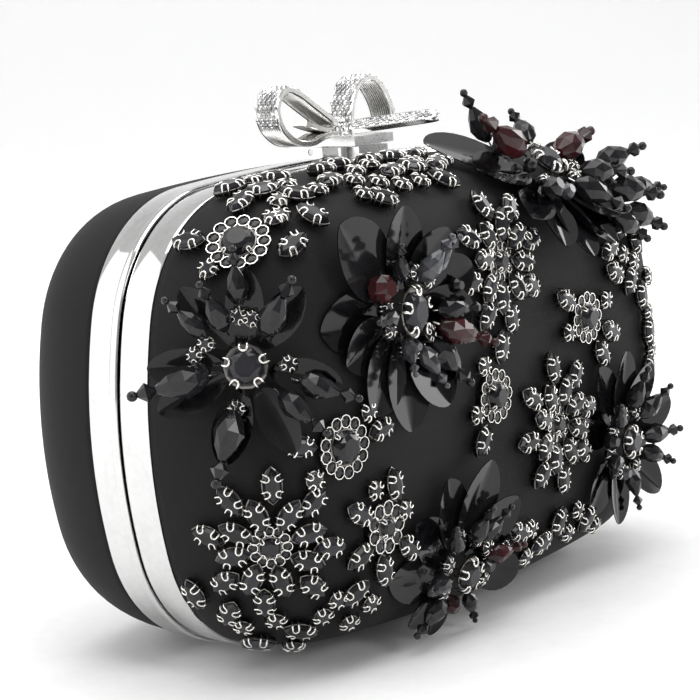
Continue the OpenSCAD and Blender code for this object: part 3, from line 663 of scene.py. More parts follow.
def around(anchor, reach=0.0, turn=0.0, spin=0.0):
    # A place on the dome at a distance and direction from anchor: Z out of it, X radial plus spin
    a = settle(anchor)
    _, right, up = axesAt(a)
    t = math.radians(turn)
    p = settle(a + reach * (math.cos(t) * right + math.sin(t) * up))
    normal = axesAt(p)[0]
    t = math.radians(turn + spin)
    x = math.cos(t) * right + math.sin(t) * up
    x = x - (x @ normal) * normal
    x /= np.linalg.norm(x)
    place = np.eye(4)
    place[:3, 0], place[:3, 1], place[:3, 2], place[:3, 3] = x, np.cross(normal, x), normal, p
    return place


def middle(node):
    # The middle of a CAD node's box
    low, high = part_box(node)
    return (np.array(low) + np.array(high)) / 2 / mm


frameSettings = {"wall": 1.4, "gap": 0.3, "flange": 3.6, "flangeThick": 1.2, "soft": 0.45, "lip": 0.5,
                 "lipWidth": 2.2, "crown": 0.12, "hingeZ": 1.5, "clearRadius": 2.15, "clearLength": 90,
                 "sharpEdge": 40}


def frameProfile(s, band, lipped):
    # The band's section as (inset, y): a softly crowned outside, rounded edges, wall and flange
    if lipped:
        roll = np.radians(np.linspace(0, 180, 11))
        near = [(-s["lip"] * math.sin(t) ** 0.7 if 0 < t < math.pi else 0.0,
                 s["gap"] + s["lipWidth"] / 2 - s["lipWidth"] / 2 * math.cos(t)) for t in roll]
        near[0] = (0.25, s["gap"])
    else:
        near = [(s["soft"], s["gap"]), (s["soft"] * 0.3, s["gap"] + 0.1), (0.0, s["gap"] + s["soft"])]
    far = [(0.0, band - s["soft"]), (s["soft"] * 0.3, band - 0.1), (s["soft"], band)]
    middleY = (near[-1][1] + far[0][1]) / 2
    inside = [(s["wall"] + s["flange"], band), (s["wall"] + s["flange"], band - s["flangeThick"]),
              (s["wall"], band - s["flangeThick"]), (s["wall"], s["gap"])]
    return near + [(-s["crown"] * 0.5, middleY)] + far + inside + [near[0]]


def makeFrame(name, node, s, side, band, lipped):
    # The section carried round the outline; near the hinge its points move out to the knuckles' clearance
    rings = [ring(inset, side * y, count=64) for inset, y in frameProfile(s, band, lipped)]
    shape = loft(rings if side < 0 else rings[::-1])
    x, y, z = shape.points.T
    clear = np.sqrt(np.maximum(s["clearRadius"] ** 2 - (z - s["hingeZ"]) ** 2, 0))
    cut = (np.abs(x) < s["clearLength"] / 2) & (z < 5) & (np.abs(y) < clear)
    shape.points[:, 1] = np.where(cut, side * clear, y)
    piece = makePiece(name, shape, ["polishedFrame"], "rear_half" if side > 0 else "front_half",
                      [node])
    splitEdges(piece, s["sharpEdge"])


makeFrame("rear_band", "rear_frame", frameSettings, 1, bagSettings["rearBand"], True)
makeFrame("front_band", "front_frame", frameSettings, -1, bagSettings["frontBand"], False)
print("frames made")

skinSettings = {"inset": 0.5, "rows": 40, "liningInset": 6.0, "liningRim": 3.7, "liningFace": 1.0,
                "satinBlank": (0.25, 0.18), "liningBlank": (0.23, 0.16)}


def domeRows(inset, band, side, rows):
    # Rings from the frame to near the pole, closer together where the side turns over
    steps = np.sin(np.linspace(0, math.pi / 2, rows)) ** 0.9
    steps[-1] = 0.9995
    return [ring(inset, side * (band + (depth - inset) * u), (1 - u ** turnOver) ** (1 / square))
            for u in steps]


def unrolled(rings):
    # Cloth coordinates: distance along the dome from its pole, in the direction seen from the front
    rings = np.asarray(rings)
    steps = np.linalg.norm(np.diff(rings, axis=0), axis=2)
    away = np.concatenate([np.cumsum(steps[::-1], axis=0)[::-1], np.zeros((1, rings.shape[1]))])
    away = away + np.hypot(rings[-1, :, 0], rings[-1, :, 2] - midZ)
    t = np.arctan2(rings[..., 2] - midZ, rings[..., 0])
    return np.stack([away * np.cos(t), away * np.sin(t)], axis=-1).reshape(-1, 2)


def withPole(rings, side):
    # A lofted skin whose last ring is closed by one flat face, turned over where side is positive
    shape = loft(rings)
    count = len(rings[0])
    last = (len(rings) - 1) * count + np.arange(count)
    skin = Shape(shape.points, np.concatenate([shape.corners, last]), np.append(shape.sizes, count), 0, True)
    return flipped(skin) if side > 0 else skin


def flipped(shape):
    # The same shape with every face turned over
    ends = np.cumsum(shape.sizes)
    starts = ends - shape.sizes
    order = np.concatenate([np.arange(e - 1, b - 1, -1) for b, e in zip(starts, ends)])
    return Shape(shape.points, shape.corners[order], shape.sizes, shape.slots, shape.smooth, shape.tint)


def makeSatin(half, side, s):
    # Black satin stretched over the dome
    band = bagSettings["rearBand" if side > 0 else "frontBand"]
    rings = [ring(s["inset"] + 0.5, side * band)] + domeRows(s["inset"], band, side, s["rows"])
    shape = withPole(rings, side)
    piece = makePiece(half + "_satin_cover", shape, ["blackSatin"], half + "_half", [half + "_satin"],
                      uv=unrolled(rings))


def makeLining(half, side, s):
    # Lining cloth in the dome's hollow, turned over at the rim to hide the frame's inside
    band = bagSettings["rearBand" if side > 0 else "frontBand"]
    rim = [ring(s["liningRim"], side * (s["liningFace"] + 0.6)),
           ring(s["liningRim"], side * s["liningFace"]),
           ring(s["liningInset"] - 0.4, side * s["liningFace"]),
           ring(s["liningInset"], side * (s["liningFace"] + 0.4))]
    rings = rim + domeRows(s["liningInset"], band, side, s["rows"])
    shape = withPole(rings, -side)
    piece = makePiece(half + "_lining_cloth", shape, ["liningCloth"], half + "_half", [half + "_lining"],
                      uv=unrolled(rings))


for halfName, halfSide in (("rear", 1), ("front", -1)):
    makeSatin(halfName, halfSide, skinSettings)
    makeLining(halfName, halfSide, skinSettings)
print("satin and lining made")

# Stone pieces take their slots in this order: stone 0, cup metal 1, the dark metal that paints the cups'
# shade 2
stoneFinishes = ["darkStone", "cupMetal", "cupShadow"]
stoneSettings = {"navetteLength": 8.4, "navetteWidth": 4.6, "cupHeight": 1.3, "roundWidth": 4.2,
                 "wire": 0.21, "leafLength": 16, "leafWidth": 9.8}


def circle(count):
    # Corners of a circle of radius 1: cos t, sin t
    t = 2 * np.pi * np.arange(count) / count
    return np.stack([np.cos(t), np.sin(t)], axis=1)


def pointedOval(length, width, count=10):
    # Corners of a pointed oval: two arcs that meet at the tips
    r = (length ** 2 + width ** 2) / (4 * width)
    reach = math.asin(length / 2 / r)
    t = np.linspace(-reach, reach, count // 2 + 1)
    half = np.stack([r * np.sin(t), r * np.cos(t) - r + width / 2], axis=1)
    return np.concatenate([half[::-1], -half[::-1][1:-1] * [1, 1]])


def stack(outlines, heights, slot=0, smooth=False, caps=True):
    # Flat outlines at heights, joined in order
    rings = [np.column_stack([o, np.full(len(o), z)]) for o, z in zip(outlines, heights)]
    return loft(rings, caps=caps, slot=slot, smooth=smooth)


def claw(width, length, height, wire):
    # A wire prong: up the wall, in over the stone and back, as an open U whose ends are outside
    t = np.radians(np.linspace(0, 180, 7))
    bend = np.stack([-length - width / 2 * np.sin(t), width / 2 * np.cos(t),
                     height + 0.12 * np.sin(t)], axis=1)
    start = [[0.3, width / 2, -0.1], [0.22, width / 2, height * 0.7], [-0.1, width / 2, height * 0.93]]
    end = [[-0.1, -width / 2, height * 0.93], [0.22, -width / 2, height * 0.7], [0.3, -width / 2, -0.1]]
    return tube(np.concatenate([start, bend, end]), wire, sides=5, slot=1)


def navette(s):
    # A pointed oval stone in its cup, with four wire claws
    l, w, h, wire = s["navetteLength"], s["navetteWidth"], s["cupHeight"], s["wire"]
    cup = stack([pointedOval(l - 1.2, w - 1.0, 16), pointedOval(l, w, 16), pointedOval(l, w, 16),
                 pointedOval(l - 0.5, w - 0.4, 16)], [0, h * 0.7, h, h + 0.1], slot=2)
    stone = stack([pointedOval(l - 0.5, w - 0.4), pointedOval(l - 0.5, w - 0.4),
                   pointedOval(l - 1.6, w - 1.5), pointedOval(l - 3.4, w - 2.9)],
                  [h - 0.1, h + 0.5, h + 1.3, h + 1.5])
    r = (l ** 2 + w ** 2) / (4 * w)
    places = []
    for x, sideOf in ((0.23 * l, 1), (-0.23 * l, 1), (-0.23 * l, -1), (0.23 * l, -1)):
        lean = math.degrees(math.asin(x / r))
        y = math.sqrt(r * r - x * x) - r + w / 2
        places.append(shifted(x, sideOf * y, h * 0.3) @ turned("z", 90 * sideOf - lean * sideOf))
    return merge(speckle(stone), cup, stamp(claw(1.35, 0.7, 2.15, wire), places, [0.7] * 4))


def roundGem(width, sides=8):
    # Round cut stone: girdle, crown and table
    r = width / 2
    return speckle(cutRings([r * 0.9, r, r * 0.8, r * 0.55], [0, r * 0.15, r * 0.48, r * 0.62], sides))


def roundSetting(width, claws=4, height=None):
    # A round stone in a tapered cup with broad claws
    h = stoneSettings["cupHeight"] if height is None else height
    edge = circle(14) * width / 2
    cup = stack([edge * 0.66, edge * 0.98, edge, edge * 0.9], [0, h * 0.8, h, h + 0.1], slot=2)
    stone = stamp(roundGem(width * 0.88), [shifted(0, 0, h - 0.1)], [0.5])
    size = min(width / 4.2, 1.3)
    places = [turned("z", 360 * i / claws + 20) @ shifted(width / 2, 0, h * 0.3) for i in range(claws)]
    wire = claw(1.25 * size, 0.45 * size, h * 0.7 + 0.42 * width / 2, 0.21 * size)
    return merge(stone, cup, stamp(wire, places, [0.7] * claws))


def smallCup(width):
    # An open bright cup with painted shade in the first row of faces round its foot, and a tiny dark stone
    sides = 9
    edge = circle(sides) * width / 2
    cup = stack([edge * 0.8, edge, edge * 0.98, edge * 0.86, edge * 0.82], [0, 0.9, 1.1, 1.1, 0.4], slot=1)
    # The foot's first row of faces takes the dark metal: painted shade
    cup.slots[:sides] = 2
    stone = cutRings([0.41 * width, 0.4 * width, 0.2 * width], [0.3, 0.75, 1.0], 6)
    return merge(stamp(stone, [np.eye(4)], [0.3]), cup)


def cupRing(width, cups):
    # A big round stone in a ring of small cups
    bead = math.pi * (width / 2 + 0.9) / (cups - math.pi)
    places = [turned("z", 360 * i / cups) @ shifted(width / 2 + bead, 0, 0.3) for i in range(cups)]
    edge = circle(28)
    plate = stack([edge * (width / 2 + 1.7 * bead), edge * (width / 2 + 1.7 * bead), edge * (width / 2)],
                  [0, 0.5, 0.6], slot=2)
    wall = stack([edge * width * 0.47, edge * width * 0.52, edge * width * 0.5], [0.5, 1.5, 1.6], slot=2)
    centre = stamp(roundGem(width * 0.95, 12), [shifted(0, 0, 1.2)], [0.2])
    rim = stamp(smallCup(bead * 2), places)
    claws = [turned("z", 90 * i + 45) @ shifted(width / 2, 0, 0.8) for i in range(4)]
    wires = stamp(claw(0.8, 0.25, 1.6, 0.17), claws, [0.5] * 4)
    return merge(centre, plate, wall, rim, wires)


def leafSequin(s, fold=1.1, curl=0.7):
    # A thin leaf that starts at the origin and runs along X, folded along its middle and curling up
    # Its half width follows sin(pi along^1.1)^0.55, its height fold |across| + curl along^2
    along, across = np.meshgrid(0.5 - 0.5 * np.cos(np.linspace(0, np.pi, 15)), np.linspace(-1, 1, 9),
                                indexing="ij")
    half = s["leafWidth"] / 2 * np.maximum(np.sin(np.pi * along ** 1.1), 0) ** 0.55
    x = along * s["leafLength"]
    y = across * half
    z = fold * np.abs(across) * half / (s["leafWidth"] / 2) + curl * along ** 2
    top = np.stack([x, y, z + 0.12], axis=-1)
    low = np.stack([x, y, z - 0.12], axis=-1)
    upper, lower = loft(top, closed=False), flipped(loft(low, closed=False))
    leaf = merge(flipped(upper), flipped(lower))
    tone = np.abs(np.repeat(np.linspace(-1, 1, 8)[None], 14, axis=0)).reshape(-1)
    leaf.tint = np.tile(0.3 + 0.4 * tone, 2)
    leaf.smooth[:] = True
    return leaf


def dropBead(length, width, sides=8):
    # A long faceted bead along X
    r = width / 2
    bead = cutRings([r * 0.3, r * 0.85, r, r * 0.72, r * 0.26],
                    np.array([0, 0.22, 0.45, 0.75, 1]) * length, sides)
    return stamp(speckle(bead), [turned("y", 90)], [0.5])


def ball(radius):
    # A small round bead with its hole along X: circles of radius sin t at -cos t
    t = np.radians(np.linspace(20, 160, 6))
    edge = circle(10)
    bead = stack([edge * radius * math.sin(k) for k in t], -radius * np.cos(t), smooth=True)
    return stamp(bead, [turned("y", 90)], [0.5])


def stick(length, width):
    # A drop bead on a wire, then a bicone and a seed bead at the tip
    parts = [dropBead(length, width)]
    bicone = stamp(speckle(cutRings([0.5, 1.7, 0.5], [0, 1.6, 3.2], 6)), [turned("y", 90)], [0.5])
    parts.append(stamp(bicone, [shifted(length + 0.1, 0, 0)], [0.5]))
    parts.append(stamp(ball(0.95), [shifted(length + 4.1, 0, 0)], [0.6]))
    parts.append(tube([[-1.5, 0, 0], [length / 2, 0, 0.01], [length + 4.4, 0, 0]], 0.22, 5, slot=1))
    return merge(*parts)


navetteShape = navette(stoneSettings)
roundShape = roundSetting(stoneSettings["roundWidth"])
leafShape = leafSequin(stoneSettings)
stickShape = stick(9.0, 5.6)
print("stones and beads shaped")

# A ring is (number of navettes, distance from the centre, direction of the first)
daisySettings = {
    "daisy": {"rings": [(8, 8.2, 15), (8, 13.4, -7)]},
    "upper_spray": {"rings": [(8, 8.2, 38), (8, 13.8, 13)]},
    "lower_spray": {"rings": [(8, 8.2, 28), (8, 13.8, 6)]},
}


def makeDaisy(name, s):
    # Two staggered rings of navettes round a stone in small cups
    anchor = middle(name + "_stones")
    wobble = np.random.default_rng(seed + len(name))
    places = []
    for count, reach, first in s["rings"]:
        for i in range(count):
            turn = first + 360 * i / count + wobble.uniform(-3, 3)
            lift = 0.55 if reach < 10 else 0.0
            places.append(around(anchor, reach + wobble.uniform(-0.4, 0.4), turn, wobble.uniform(-7, 7))
                          @ shifted(0, 0, lift) @ turned("y", -6 if lift else 4))
    shape = merge(stamp(cupRing(5, 12), [around(anchor)]), stamp(navetteShape, places))
    makePiece(name + "_setting", shape, stoneFinishes, "front_half",
              [name + "_cups", name + "_stones"])


# The centre is (stone width, number of cups); the stones beside it are (distance, direction, spin)
broochSettings = {
    "sun_brooch": {"at": (-75, -25, 97), "centre": (8, 13),
                   "navettes": [(11.5, 170, 0), (11.5, 0, 50)],
                   "rounds": [(8.6, 225), (9.5, 45)]},
    "ring_brooch": {"at": (-65, -41, 52), "centre": (8, 13),
                    "navettes": [(11.5, 170, 0), (11.5, 10, 0)],
                    "rounds": [(10, 215), (10, 40)]},
    "oval_brooch": {"at": (-9, -42, 53.5), "centre": (7, 12),
                    "navettes": [(11.5, 75, 0), (11.5, 235, 0)],
                    "rounds": [(9, 120), (9, 200)]},
    "high_brooch": {"at": (33, -42, 66), "centre": (7, 12),
                    "navettes": [(11.5, 150, 0), (11.5, 300, 0), (11.5, 335, 0)],
                    "rounds": [(9.5, 195), (9.5, 20)]},
    "low_brooch": {"at": (-53.5, -42, 32), "centre": (5, 9),
                   "navettes": [(9.5, 70, 30), (9.5, 150, 0), (9.5, 210, 0), (9.5, 265, 20), (9.5, 320, 0)],
                   "rounds": [(7, 20), (9.5, 110)]},
}


def makeBrooch(name, s):
    # A stone in small cups with navettes and round stones beside it
    anchor = s["at"]
    navettes = [around(anchor, *n) for n in s["navettes"]]
    rounds = [around(anchor, *r) for r in s["rounds"]]
    shape = merge(stamp(cupRing(*s["centre"]), [around(anchor)]), stamp(navetteShape, navettes),
                  stamp(roundShape, rounds))
    makePiece(name + "_setting", shape, stoneFinishes, "front_half",
              [name + "_cups", name + "_stones"])


for daisyName, daisyValues in daisySettings.items():
    makeDaisy(daisyName, daisyValues)
for broochName, broochValues in broochSettings.items():
    makeBrooch(broochName, broochValues)
print("daisies and brooches made")

# Navettes are (point near the dome, turn); round stones are points near the dome
clusterSettings = {
    "top_cluster": {
        "navettes": [((-44, -26, 106), 30), ((-37, -18.5, 108), 10), ((-30, -17.5, 108.5), -20),
                     ((-20, -19, 108.5), 10), ((-12, -20, 109), -15), ((-4, -21, 109), 20),
                     ((-16, -28, 107), -35), ((-24, -28.5, 107), 15), ((-7.5, -29, 106.5), 30),
                     ((-13, -35, 104.5), -50), ((-38, -36, 102.5), -25)],
        "rounds": [(-32, -24, 107.5), (-38, -28, 105.5), (-42, -33.5, 103.4), (-28, -34, 104.8),
                   (-21, -34, 104.8), (-24.5, -22.5, 108), (-11.5, -25.5, 107.8), (-2, -27, 107),
                   (-33, -31, 105)]},
    "shoulder_cluster": {
        "navettes": [((-61, -12, 105.5), 50), ((-66, -19, 103.5), 75), ((-60, -20, 105.5), 20),
                     ((-57, -27, 104.5), -30), ((-60, -33.5, 101), -50), ((-50.5, -16, 107), 10)],
        "rounds": [(-55.5, -13.5, 107), (-54, -22, 106), (-62, -26, 104), (-65.5, -29, 101.5),
                   (-51, -28, 105)]},
    "edge_column": {
        "navettes": [((52, -42, 87), 70), ((45, -42, 81.5), 20), ((60, -41, 82), 110),
                     ((47, -42, 75.5), -30), ((55, -42, 72.5), 60), ((61, -41, 68), 95),
                     ((64.5, -41, 58), 88), ((63.5, -41, 48), 80)],
        "rounds": [(52, -42, 79.5), (57.5, -41, 77), (65, -41, 63), (66, -41, 53), (61.5, -41, 42.5),
                   (66.5, -39, 72)]},
    "bottom_left_cluster": {
        "navettes": [((-84, -14, 22), 100), ((-72, -20, 8.5), 0), ((-82, -20.5, 16.5), 60),
                     ((-70, -30.5, 11.8), -20), ((-62, -39.5, 19.2), 35)],
        "rounds": [(-77.5, -21, 13.5), (-75.4, -28.4, 15), (-68, -35.4, 14.9), (-66, -38, 18.5),
                   (-66, -25, 8), (-60.5, -36, 12.5), (-57, -40, 15.5)]},
    "bottom_right_cluster": {
        "navettes": [((-9, -41, 16), 40), ((9, -41, 14.5), 15), ((16, -42, 18), 60), ((30, -41, 16), 40),
                     ((-2, -41, 19.5), -20)],
        "rounds": [(3.4, -42, 19), (3, -40, 12.5), (21.5, -41, 14), (24.9, -42, 19), (35.5, -40, 13)]},
    "flank_cluster": {
        "navettes": [((82, -20, 85), 60), ((86, -22, 70), 90), ((85, -30, 56), 80), ((86, -20, 44), 100),
                     ((80, -22, 26), 60), ((83, -31, 34), 20)],
        "rounds": [(84, -26, 78), (87, -24, 63), (86, -24, 50), (85, -27, 40), (78, -29, 21)]},
}


def makeCluster(name, s):
    # Loose stones set close together
    navettes = [around(p, 0, turn) for p, turn in s["navettes"]]
    rounds = [around(p) for p in s["rounds"]]
    shape = merge(stamp(navetteShape, navettes), stamp(roundShape, rounds))
    makePiece(name + "_stones", shape, stoneFinishes, "front_half", [name])


for clusterName, clusterValues in clusterSettings.items():
    makeCluster(clusterName, clusterValues)
print("clusters made")

# Leaves are (direction, length, rise), sticks (direction, start, lift, rise, size, material),
# beads (direction, distance, lift, size, material) and claws (direction, distance).
# Materials are numbered as in beadFinishes
beadFinishes = ["jetBead", "wineBead", "smokyBead", "cupMetal"]
flowerSettings = {
    "star_flower": {
        "centre": (9.4, 9.4), "shift": (-3.4, 0, -0.8), "broad": 0.8,
        "leaves": [(126, 17, 14), (88, 16.5, 12), (52, 16.5, 20), (-14, 16, 18), (-64, 16.5, 12),
                   (-106, 17, 12), (178, 16.5, 8), (204, 16.5, 6)],
        "sticks": [(112, 8, 5, 34, 0.9, 0), (60, 7, 5, 32, 1.1, 0), (192, 7, 5, 18, 1.25, 0),
                   (-106, 9, 5, 18, 1.2, 0), (-45, 8, 5, 26, 1.0, 0), (-20, 10, 5, 24, 1.0, 0),
                   (135, 9, 5, 24, 0.9, 0), (92, 12, 5, 20, 0.9, 0)],
        "beads": [(186, 9, 4.5, 5.2, 0)],
        "claws": [(146, 9), (165, 10.5), (95, 10), (0, 8), (-105, 8.8), (80, 9.5)]},
    "great_flower": {
        "centre": (9, 11), "shift": (0, 0, 0), "broad": 1.12,
        "leaves": [(132, 24, 2), (88, 19, 8), (50, 18, 14), (20, 19, 14), (-6, 17, 16), (182, 20, -8),
                   (205, 17, -2), (238, 20, 2), (268, 22, 3), (298, 21, 8)],
        "sticks": [(114, 8, 4.5, 26, 0.7, 0), (66, 7, 5, 34, 0.9, 2), (50, 10, 4.5, 30, 0.8, 2),
                   (180, 7, 4.5, 22, 0.8, 0), (-4, 8, 5, 26, 0.9, 0), (-24, 9, 5, 20, 1.2, 1),
                   (-48, 10, 4, 12, 1.1, 0), (-116, 6, 4, 30, 0.7, 2), (-74, 8, 4, 26, 0.8, 2)],
        "beads": [(148, 11.5, 4.5, 7, 1), (-90, 7.5, 4, 3.6, 2), (14, 16, 5, 4, 0)],
        "claws": [(70, 8.5), (40, 9.5), (100, 9), (165, 8.5), (200, 8), (250, 8), (285, 9), (320, 8.5)]},
    "crown_flower": {
        "centre": (9, 10), "shift": (0, 0, 0), "broad": 1.0,
        "leaves": [(145, 28, -2), (172, 22, 2), (212, 19, 0), (240, 20, 0), (265, 21, 0), (290, 21, 2),
                   (314, 20, 4), (338, 20, 8), (8, 17, 10)],
        "sticks": [(136, 15, 5, 50, 1.05, 0), (158, 8, 5, 24, 1.35, 1), (60, 8, 5, 16, 1.0, 0),
                   (8, 8, 5, 12, 1.35, 1), (95, 9, 4, 18, 0.8, 0), (-20, 12, 4, 16, 1.2, 0),
                   (-48, 8, 4, 12, 1.2, 0), (-8, 22, 4, 26, 1.2, 0), (-22, 24, 4, 14, 1.3, 0),
                   (-30, 33, 3, 12, 1.2, 0), (-16, 34, 4, 24, 1.0, 0), (-40, 28, 3, 6, 1.1, 0)],
        "beads": [(225, 9, 4.5, 6, 0), (262, 8, 4.5, 4.5, 2), (180, 8, 4, 4, 0), (150, 13, 5, 5, 0)],
        "claws": [(120, 8), (80, 8.5), (215, 7.5), (330, 9), (350, 11), (45, 8)]},
    "foot_flower": {
        "centre": (8, 8), "shift": (0, 0, 0), "broad": 1.0,
        "leaves": [(72, 22, 8), (104, 19, 2), (140, 18, 0), (38, 19, 12), (176, 19, -6), (-10, 17, 14),
                   (215, 14, 2), (250, 12, 8)],
        "sticks": [(50, 8, 4, 24, 0.8, 0), (90, 7, 5, 34, 0.8, 0), (130, 8, 4, 26, 0.8, 0),
                   (12, 8, 4, 22, 0.8, 1), (176, 8, 4, 18, 0.9, 0), (210, 8, 4, 12, 0.9, 0),
                   (-60, 6, 4, 14, 0.7, 0)],
        "beads": [(250, 7, 4, 5, 1), (0, 8, 4, 4.4, 0)],
        "claws": [(60, 8), (110, 9), (155, 8), (200, 8), (-20, 8.5), (25, 9)]},
    "side_flower": {
        "centre": (8, 8), "shift": (0, 0, 0), "broad": 0.9,
        "leaves": [(58, 18, 12), (88, 19, 8), (118, 19, 4), (158, 18, 0), (20, 18, 14), (225, 18, 0),
                   (-45, 18, 12), (262, 17, 4)],
        "sticks": [(0, 8, 4, 20, 1.0, 0), (40, 8, 4, 24, 0.9, 0), (84, 8, 4, 26, 0.9, 0),
                   (136, 7, 4, 28, 0.8, 0), (200, 7, 4, 24, 0.8, 0), (-85, 7, 4, 12, 0.8, 0),
                   (-25, 8, 4, 20, 0.9, 0)],
        "beads": [(170, 9, 4, 4.6, 0), (-110, 8, 4, 4.2, 2)],
        "claws": [(105, 8), (150, 8), (190, 9), (240, 8), (60, 8.5), (-60, 8)]},
}


def makeFlower(name, s):
    # Creased leaves with faceted beads on wires over their roots, round a stone standing in the middle
    anchor = middle(name + "_centre") + np.array(s["shift"])
    leaves = []
    for turn, length, rise in s["leaves"]:
        size = length / stoneSettings["leafLength"]
        leaves.append(around(anchor, 4.5, turn) @ shifted(0, 0, 0.4) @ turned("y", -rise)
                      @ scaled(size, size * s["broad"], 1))
    makePiece(name + "_sequins", stamp(leafShape, leaves), ["leafSequin"], "front_half", [name + "_leaves"])
    parts = []
    for turn, start, lift, rise, size, finish in s["sticks"]:
        place = around(anchor, start, turn) @ shifted(0, 0, lift) @ turned("y", -rise) @ scaled(size)
        drop = stamp(stickShape, [place], [0.5])
        drop.slots = np.where(drop.slots == 1, beadFinishes.index("cupMetal"), finish)
        parts.append(drop)
    for turn, reach, lift, size, finish in s["beads"]:
        place = around(anchor, reach, turn) @ shifted(0, 0, lift)
        bead = cutRings([size * 0.25, size * 0.46, size * 0.46, size * 0.25],
                        [-size * 0.42, -size * 0.16, size * 0.16, size * 0.42], 8, finish)
        parts.append(stamp(speckle(bead), [place], [0.5]))
    makePiece(name + "_drops", merge(*parts), beadFinishes, "front_half", [name + "_beads"])
    wide, tall = s["centre"]
    stand = around(anchor) @ shifted(0, 0, 3.2) @ scaled(1, tall / wide, 1)
    centre = stamp(roundSetting(wide, 5), [stand], [0.4])
    places = [around(anchor, reach, turn) @ shifted(0, 0, 2.4) for turn, reach in s["claws"]]
    claws = stamp(roundSetting(3.4), places)
    makePiece(name + "_heart", merge(centre, claws), stoneFinishes, "front_half", [name + "_centre"])


for flowerName, flowerValues in flowerSettings.items():
    makeFlower(flowerName, flowerValues)
print("flowers made")

# Bow pieces take their slots in this order: metal 0, crystal 1, the darker metal that paints shade in the
# grooves 2
# Points of a curve are (across, up) from the knot's foot
bowFinishes = ["bowMetal", "crystal", "grooveShadeMetal"]
bowSettings = {"width": 7, "thick": 1.4, "knot": (-7, 0.5), "pave": 1.4, "sharpEdge": 35, "tailTurn": -38,
               "tailRise": 4, "tailLength": 25, "tailTip": 3, "tailLean": 16, "tailLift": 1.2}
bowCurves = {
    "left_loop": {"points": [(-2.8, 3.2), (-9.5, 7), (-17, 11.2), (-21.8, 12), (-24.8, 8.2), (-23.4, 3.4),
                             (-18.8, 0), (-12.8, -0.8), (-7, 0.6), (-2.3, 0.8)], "width": 7,
                  "pave": (0.3, 0.56), "outside": -1},
    "right_loop": {"points": [(3, 2), (3.4, 6.5), (6.2, 11.6), (11, 13.4), (15.4, 11.4), (19, 6.6),
                              (20.4, 1.8)], "width": 7, "pave": (0.02, 0.98), "outside": 1},
    "left_tail": {"points": [(-2.3, 1.9), (-6, 2), (-10, 3), (-13.5, 4)], "width": 4.6, "pave": None,
                  "outside": 1},
}
bowBase = float(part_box("clasp_plate")[1][2]) / mm
bowFoot = [*bowSettings["knot"], bowBase]


def smoothCurve(points, steps=10):
    # A curve through its points: between b and c, the cubic whose slopes are (c - a) / 2 and (d - b) / 2
    p = np.array(points, float)
    last = len(p) - 1
    out = []
    for i in range(last):
        a, b, c, d = p[max(i - 1, 0)], p[i], p[i + 1], p[min(i + 2, last)]
        t = np.arange(steps)[:, None] / steps
        out.append(0.5 * (2 * b + (c - a) * t + (2 * a - 5 * b + 4 * c - d) * t ** 2
                          + (3 * b - a - 3 * c + d) * t ** 3))
    return np.concatenate(out + [p[-1:]])


def ribbonSection(width, thick, ribs=9):
    # The ribbon's section as (across, out): a raised polished rim on each side of ribs, above and below
    half, top = width / 2, thick / 2
    x = np.linspace(-half + 0.6, half - 0.6, ribs * 4 + 1)
    wave = top * (0.45 + 0.4 * np.abs(np.sin(np.linspace(0, ribs * math.pi, ribs * 4 + 1))))
    rim = [(half - 0.5, top), (half - 0.15, top), (half, top * 0.7)]
    upper = [(-a, z) for a, z in rim[::-1]] + list(zip(x, wave)) + rim
    return np.array(upper + [(a, -z) for a, z in upper[::-1]])


def shadeGrooves(body, count, ribs=9):
    # Gives the faces beside each groove, at every fourth corner between the rims, the dark metal as painted
    # shade
    across = np.arange(count) % (count // 2)
    inGroove = (across >= 3) & (across < 3 + ribs * 4) & np.isin((across - 3) % 4, (0, 3))
    rings = (len(body.sizes) - 2) // count
    body.slots = np.concatenate([np.tile(np.where(inGroove, 2, 0), rings), [0, 0]])
    return body


def leftOf(curve):
    # At each point of a curve in X and Z, the direction to its left
    ahead = np.gradient(curve, axis=0)
    ahead /= np.linalg.norm(ahead, axis=1)[:, None]
    return np.stack([-ahead[:, 1], ahead[:, 0]], axis=1)


def paveOn(curve, out, span, width, thick, pitch):
    # Places for rows of small stones along a share of the curve
    lengths = np.concatenate([[0], np.cumsum(np.linalg.norm(np.diff(curve, axis=0), axis=1))])
    rows = max(2, int((width - 1.4) / pitch) + 1)
    places = []
    at = np.arange(span[0] * lengths[-1], span[1] * lengths[-1], pitch * 0.9)
    for k, s in enumerate(at):
        x, z = (np.interp(s, lengths, curve[:, i]) for i in (0, 1))
        nx, nz = (np.interp(s, lengths, out[:, i]) for i in (0, 1))
        size = math.hypot(nx, nz)
        nx, nz = nx / size, nz / size
        for row in range(rows - k % 2):
            y = (row - (rows - 1 - k % 2) / 2) * pitch
            place = np.eye(4)
            place[:3, 0] = nz, 0, -nx
            place[:3, 1] = 0, 1, 0
            place[:3, 2] = nx, 0, nz
            place[:3, 3] = x + nx * thick * 0.3, y, z + nz * thick * 0.3
            places.append(place)
    return places


paveStone = speckle(cutRings([0.62, 0.68, 0.5, 0.26], [0, 0.3, 0.55, 0.68], 6, 1))


